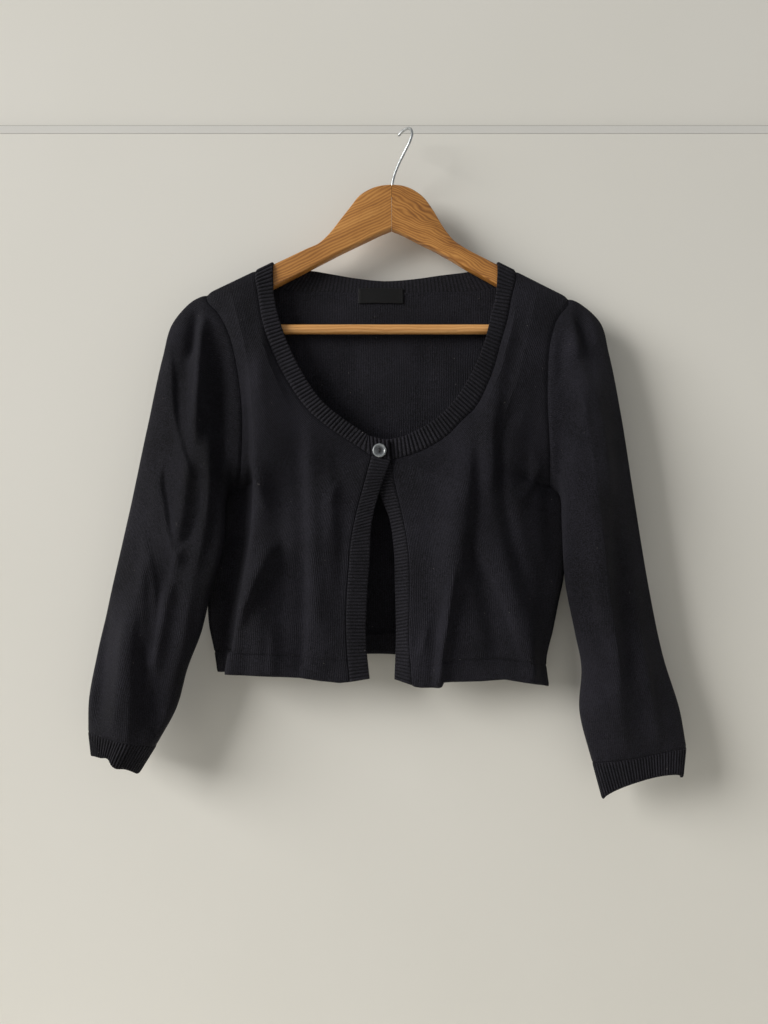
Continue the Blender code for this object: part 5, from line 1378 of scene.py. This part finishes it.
# Painted highlight: the colour grows lighter from the middle out to the rim, standing in for the light that the
# raised rim catches; the clouds over it are the pearly swirl of the polyester.
centred = add_node(tree, "VectorMath", {"operation": "SUBTRACT"}, {0: place, 1: tuple(BUTTON_CENTRE * MM)})
outward = add_node(tree, "VectorMath", {"operation": "LENGTH"}, {0: centred.outputs[0]}).outputs["Value"]
share = add_node(tree, "MapRange", links={"Value": outward, "From Min": 0.003, "From Max": 0.0085,
                                          "To Min": 0.0, "To Max": 0.55}).outputs[0]
pearl_clouds_and_rim_highlight = add_node(tree, "Math", TIMES_PLUS, {0: cloud.outputs["Fac"], 1: 0.6, 2: share}).outputs[0]
shade = colour_ramp(tree, pearl_clouds_and_rim_highlight, [(0.2, "#2a2c2f"), (0.45, "#4a4d51"), (0.75, "#7d8286"), (0.95, "#a3a7a9")])
set_inputs(tree, shader, {"Base Color": shade, "Roughness": 0.28, "Coat Weight": 0.5, "Coat Roughness": 0.12})
dress(button, PEARL_WITH_RIM_HIGHLIGHT, "button")

THREAD, tree, shader = new_material("black_sewing_thread")
place = add_node(tree, "TexCoord").outputs["Object"]
twist = add_node(tree, "TexNoise", links={"Vector": place, "Scale": 2200.0, "Detail": 2.0}).outputs["Fac"]
shade = colour_ramp(tree, twist, [(0.3, "#0d0c10"), (0.8, "#2b2a2f")])
set_inputs(tree, shader, {"Base Color": shade, "Roughness": 0.7})


def thread(name, points, radius):
    """Round sewing thread along points."""
    piece = add_piece(name, *tube(np.asarray(points, float), radius, THREAD_SIDES, (0.31, 0.9, 0.28)))
    face_out(piece)
    dress(piece, THREAD)


# Threads from hole to hole of the button, and a row of stitches at each end of the label
for k, aside in enumerate(THREADS_ASIDE):
    t = np.linspace(-1, 1, 15)
    rise = 0.55 * np.sqrt(np.maximum(1 - t**8, 0)) - 0.9 * np.abs(t)**12
    line = BUTTON_CENTRE + np.stack([aside + 0 * t, -1.6 - rise, BUTTON_HOLES * t], axis=1)
    thread(f"button_thread_{k + 1}", line, BUTTON_THREAD)
for k in range(int((high[2] - low[2]) / LABEL_STITCH)):
    for end, x in (("a", low[0] + LABEL_STITCH), ("b", high[0] - LABEL_STITCH)):
        z = low[2] + 1.2 + k * LABEL_STITCH + np.linspace(0, 1.3, 7)
        t = np.linspace(-1, 1, 7)
        line = np.stack([x + 0 * z, middle[1] - 0.42 - 0.18 * (1 - t**4), z], axis=1)
        thread(f"label_stitch_{end}{k + 1}", line, LABEL_THREAD)


# Wall, floor, light and camera. The jacket hangs close to a big cream panel with a pale strip along its top;
# soft daylight comes from a window on the left, and the camera looks up a little from chest height.
STAGE_SIDE = 1500
FLOOR_TOP = -1085
PANEL_BACK = 44
PHOTO_WIDTH = 768
FOCAL_PIXELS = 769
SENSOR = 36
VIEWER_PLACE = (-24.8, -900, -567.4)
VIEWER_TILT = math.radians(5.9)


def matt_paint(name, shade_low, shade_high, scale):
    """Matt painted board: an even pale colour with faint large clouds and a very fine tooth."""
    made, tree, shader = new_material(name)
    place = add_node(tree, "TexCoord").outputs["Object"]
    cloud = add_node(tree, "TexNoise", links={"Vector": place, "Scale": scale, "Detail": 3.0}).outputs["Fac"]
    tooth = add_node(tree, "TexNoise", links={"Vector": place, "Scale": 1500.0, "Detail": 2.0}).outputs["Fac"]
    bump = add_node(tree, "Bump", links={"Height": tooth, "Strength": 0.08, "Distance": 0.0002}).outputs[0]
    shade = colour_ramp(tree, cloud, [(0.3, shade_low), (0.7, shade_high)])
    set_inputs(tree, shader, {"Base Color": shade, "Normal": bump, "Roughness": 0.8})
    return made


PANEL = matt_paint("cream_matt_panel", "#dcdad3", "#dfddd7", 2.0)
STRIP = matt_paint("pale_grey_strip", "#cfceca", "#d6d5d1", 3.0)
# Painted shadow: the two thin grooves beside the strip are boards of dark grey paint that stand in for the
# shade falling in them.
PAINTED_SHADOW_GAP = matt_paint("grey_painted_shadow_gap", "#8f8d86", "#989690", 3.0)
FLOOR = matt_paint("pale_floor", "#dedbd3", "#e6e3dc", 1.5)
# Name, y of the front and of the back, z of the underside and of the top, and paint
STAGE_BOARDS = [
    ("panel", 32, PANEL_BACK, FLOOR_TOP, 17, PANEL),
    ("panel_gap", 34, PANEL_BACK, 17, 18.2, PAINTED_SHADOW_GAP),
    ("panel_strip", 33, PANEL_BACK, 18.2, 28.6, STRIP),
    ("strip_gap", 36, PANEL_BACK, 28.6, 31, PAINTED_SHADOW_GAP),
    ("wall", PANEL_BACK + 0.5, 60, FLOOR_TOP, 1400, PANEL),
    ("floor", -1800, 60, FLOOR_TOP - 15, FLOOR_TOP, FLOOR),
]
BOARD_FACES = [(0, 1, 3, 2), (4, 6, 7, 5), (0, 4, 5, 1), (2, 3, 7, 6), (0, 2, 6, 4), (1, 5, 7, 3)]
for name, front, rear, low, high, paint in STAGE_BOARDS:
    corners = [(x, y, z) for x in (-STAGE_SIDE, STAGE_SIDE) for y in (front, rear) for z in (low, high)]
    piece = add_piece(name, corners, BOARD_FACES, smooth=False)
    face_out(piece)
    piece.data.materials.append(paint)


def lamp(name, place, aim, size, watts, shade):
    """Soft rectangular light aimed at a point; sizes in mm."""
    data = bpy.data.lights.new(name, "AREA")
    data.shape = "RECTANGLE"
    data.size, data.size_y = size[0] * MM, size[1] * MM
    data.energy = watts
    data.color = colour(shade)[:3]
    made = bpy.data.objects.new(name, data)
    bpy.context.scene.collection.objects.link(made)
    way = unit(np.array(aim, float) - np.array(place, float))
    made.location = np.array(place) * MM
    made.rotation_euler = (math.acos(-way[2]), 0, math.atan2(-way[0], way[1]))


lamp("window", (-7900, -4200, 2200), (0, 0, -450), (4600, 4600), 940, "#fffdf9")
world = bpy.data.worlds.new("room_air")
world.use_nodes = True
sky = world.node_tree.nodes["Background"]
set_inputs(world.node_tree, sky, {"Color": colour("#e8e8e6"), "Strength": 0.35})
bpy.context.scene.world = world
bpy.context.scene.view_settings.view_transform = "Standard"

camera = bpy.data.cameras.new("camera")
camera.sensor_fit = "HORIZONTAL"
camera.sensor_width = SENSOR
camera.lens = SENSOR * FOCAL_PIXELS / PHOTO_WIDTH
viewer = bpy.data.objects.new("camera", camera)
bpy.context.scene.collection.objects.link(viewer)
viewer.location = np.array(VIEWER_PLACE) * MM
viewer.rotation_euler = (math.pi / 2 + VIEWER_TILT, 0, 0)
bpy.context.scene.camera = viewer
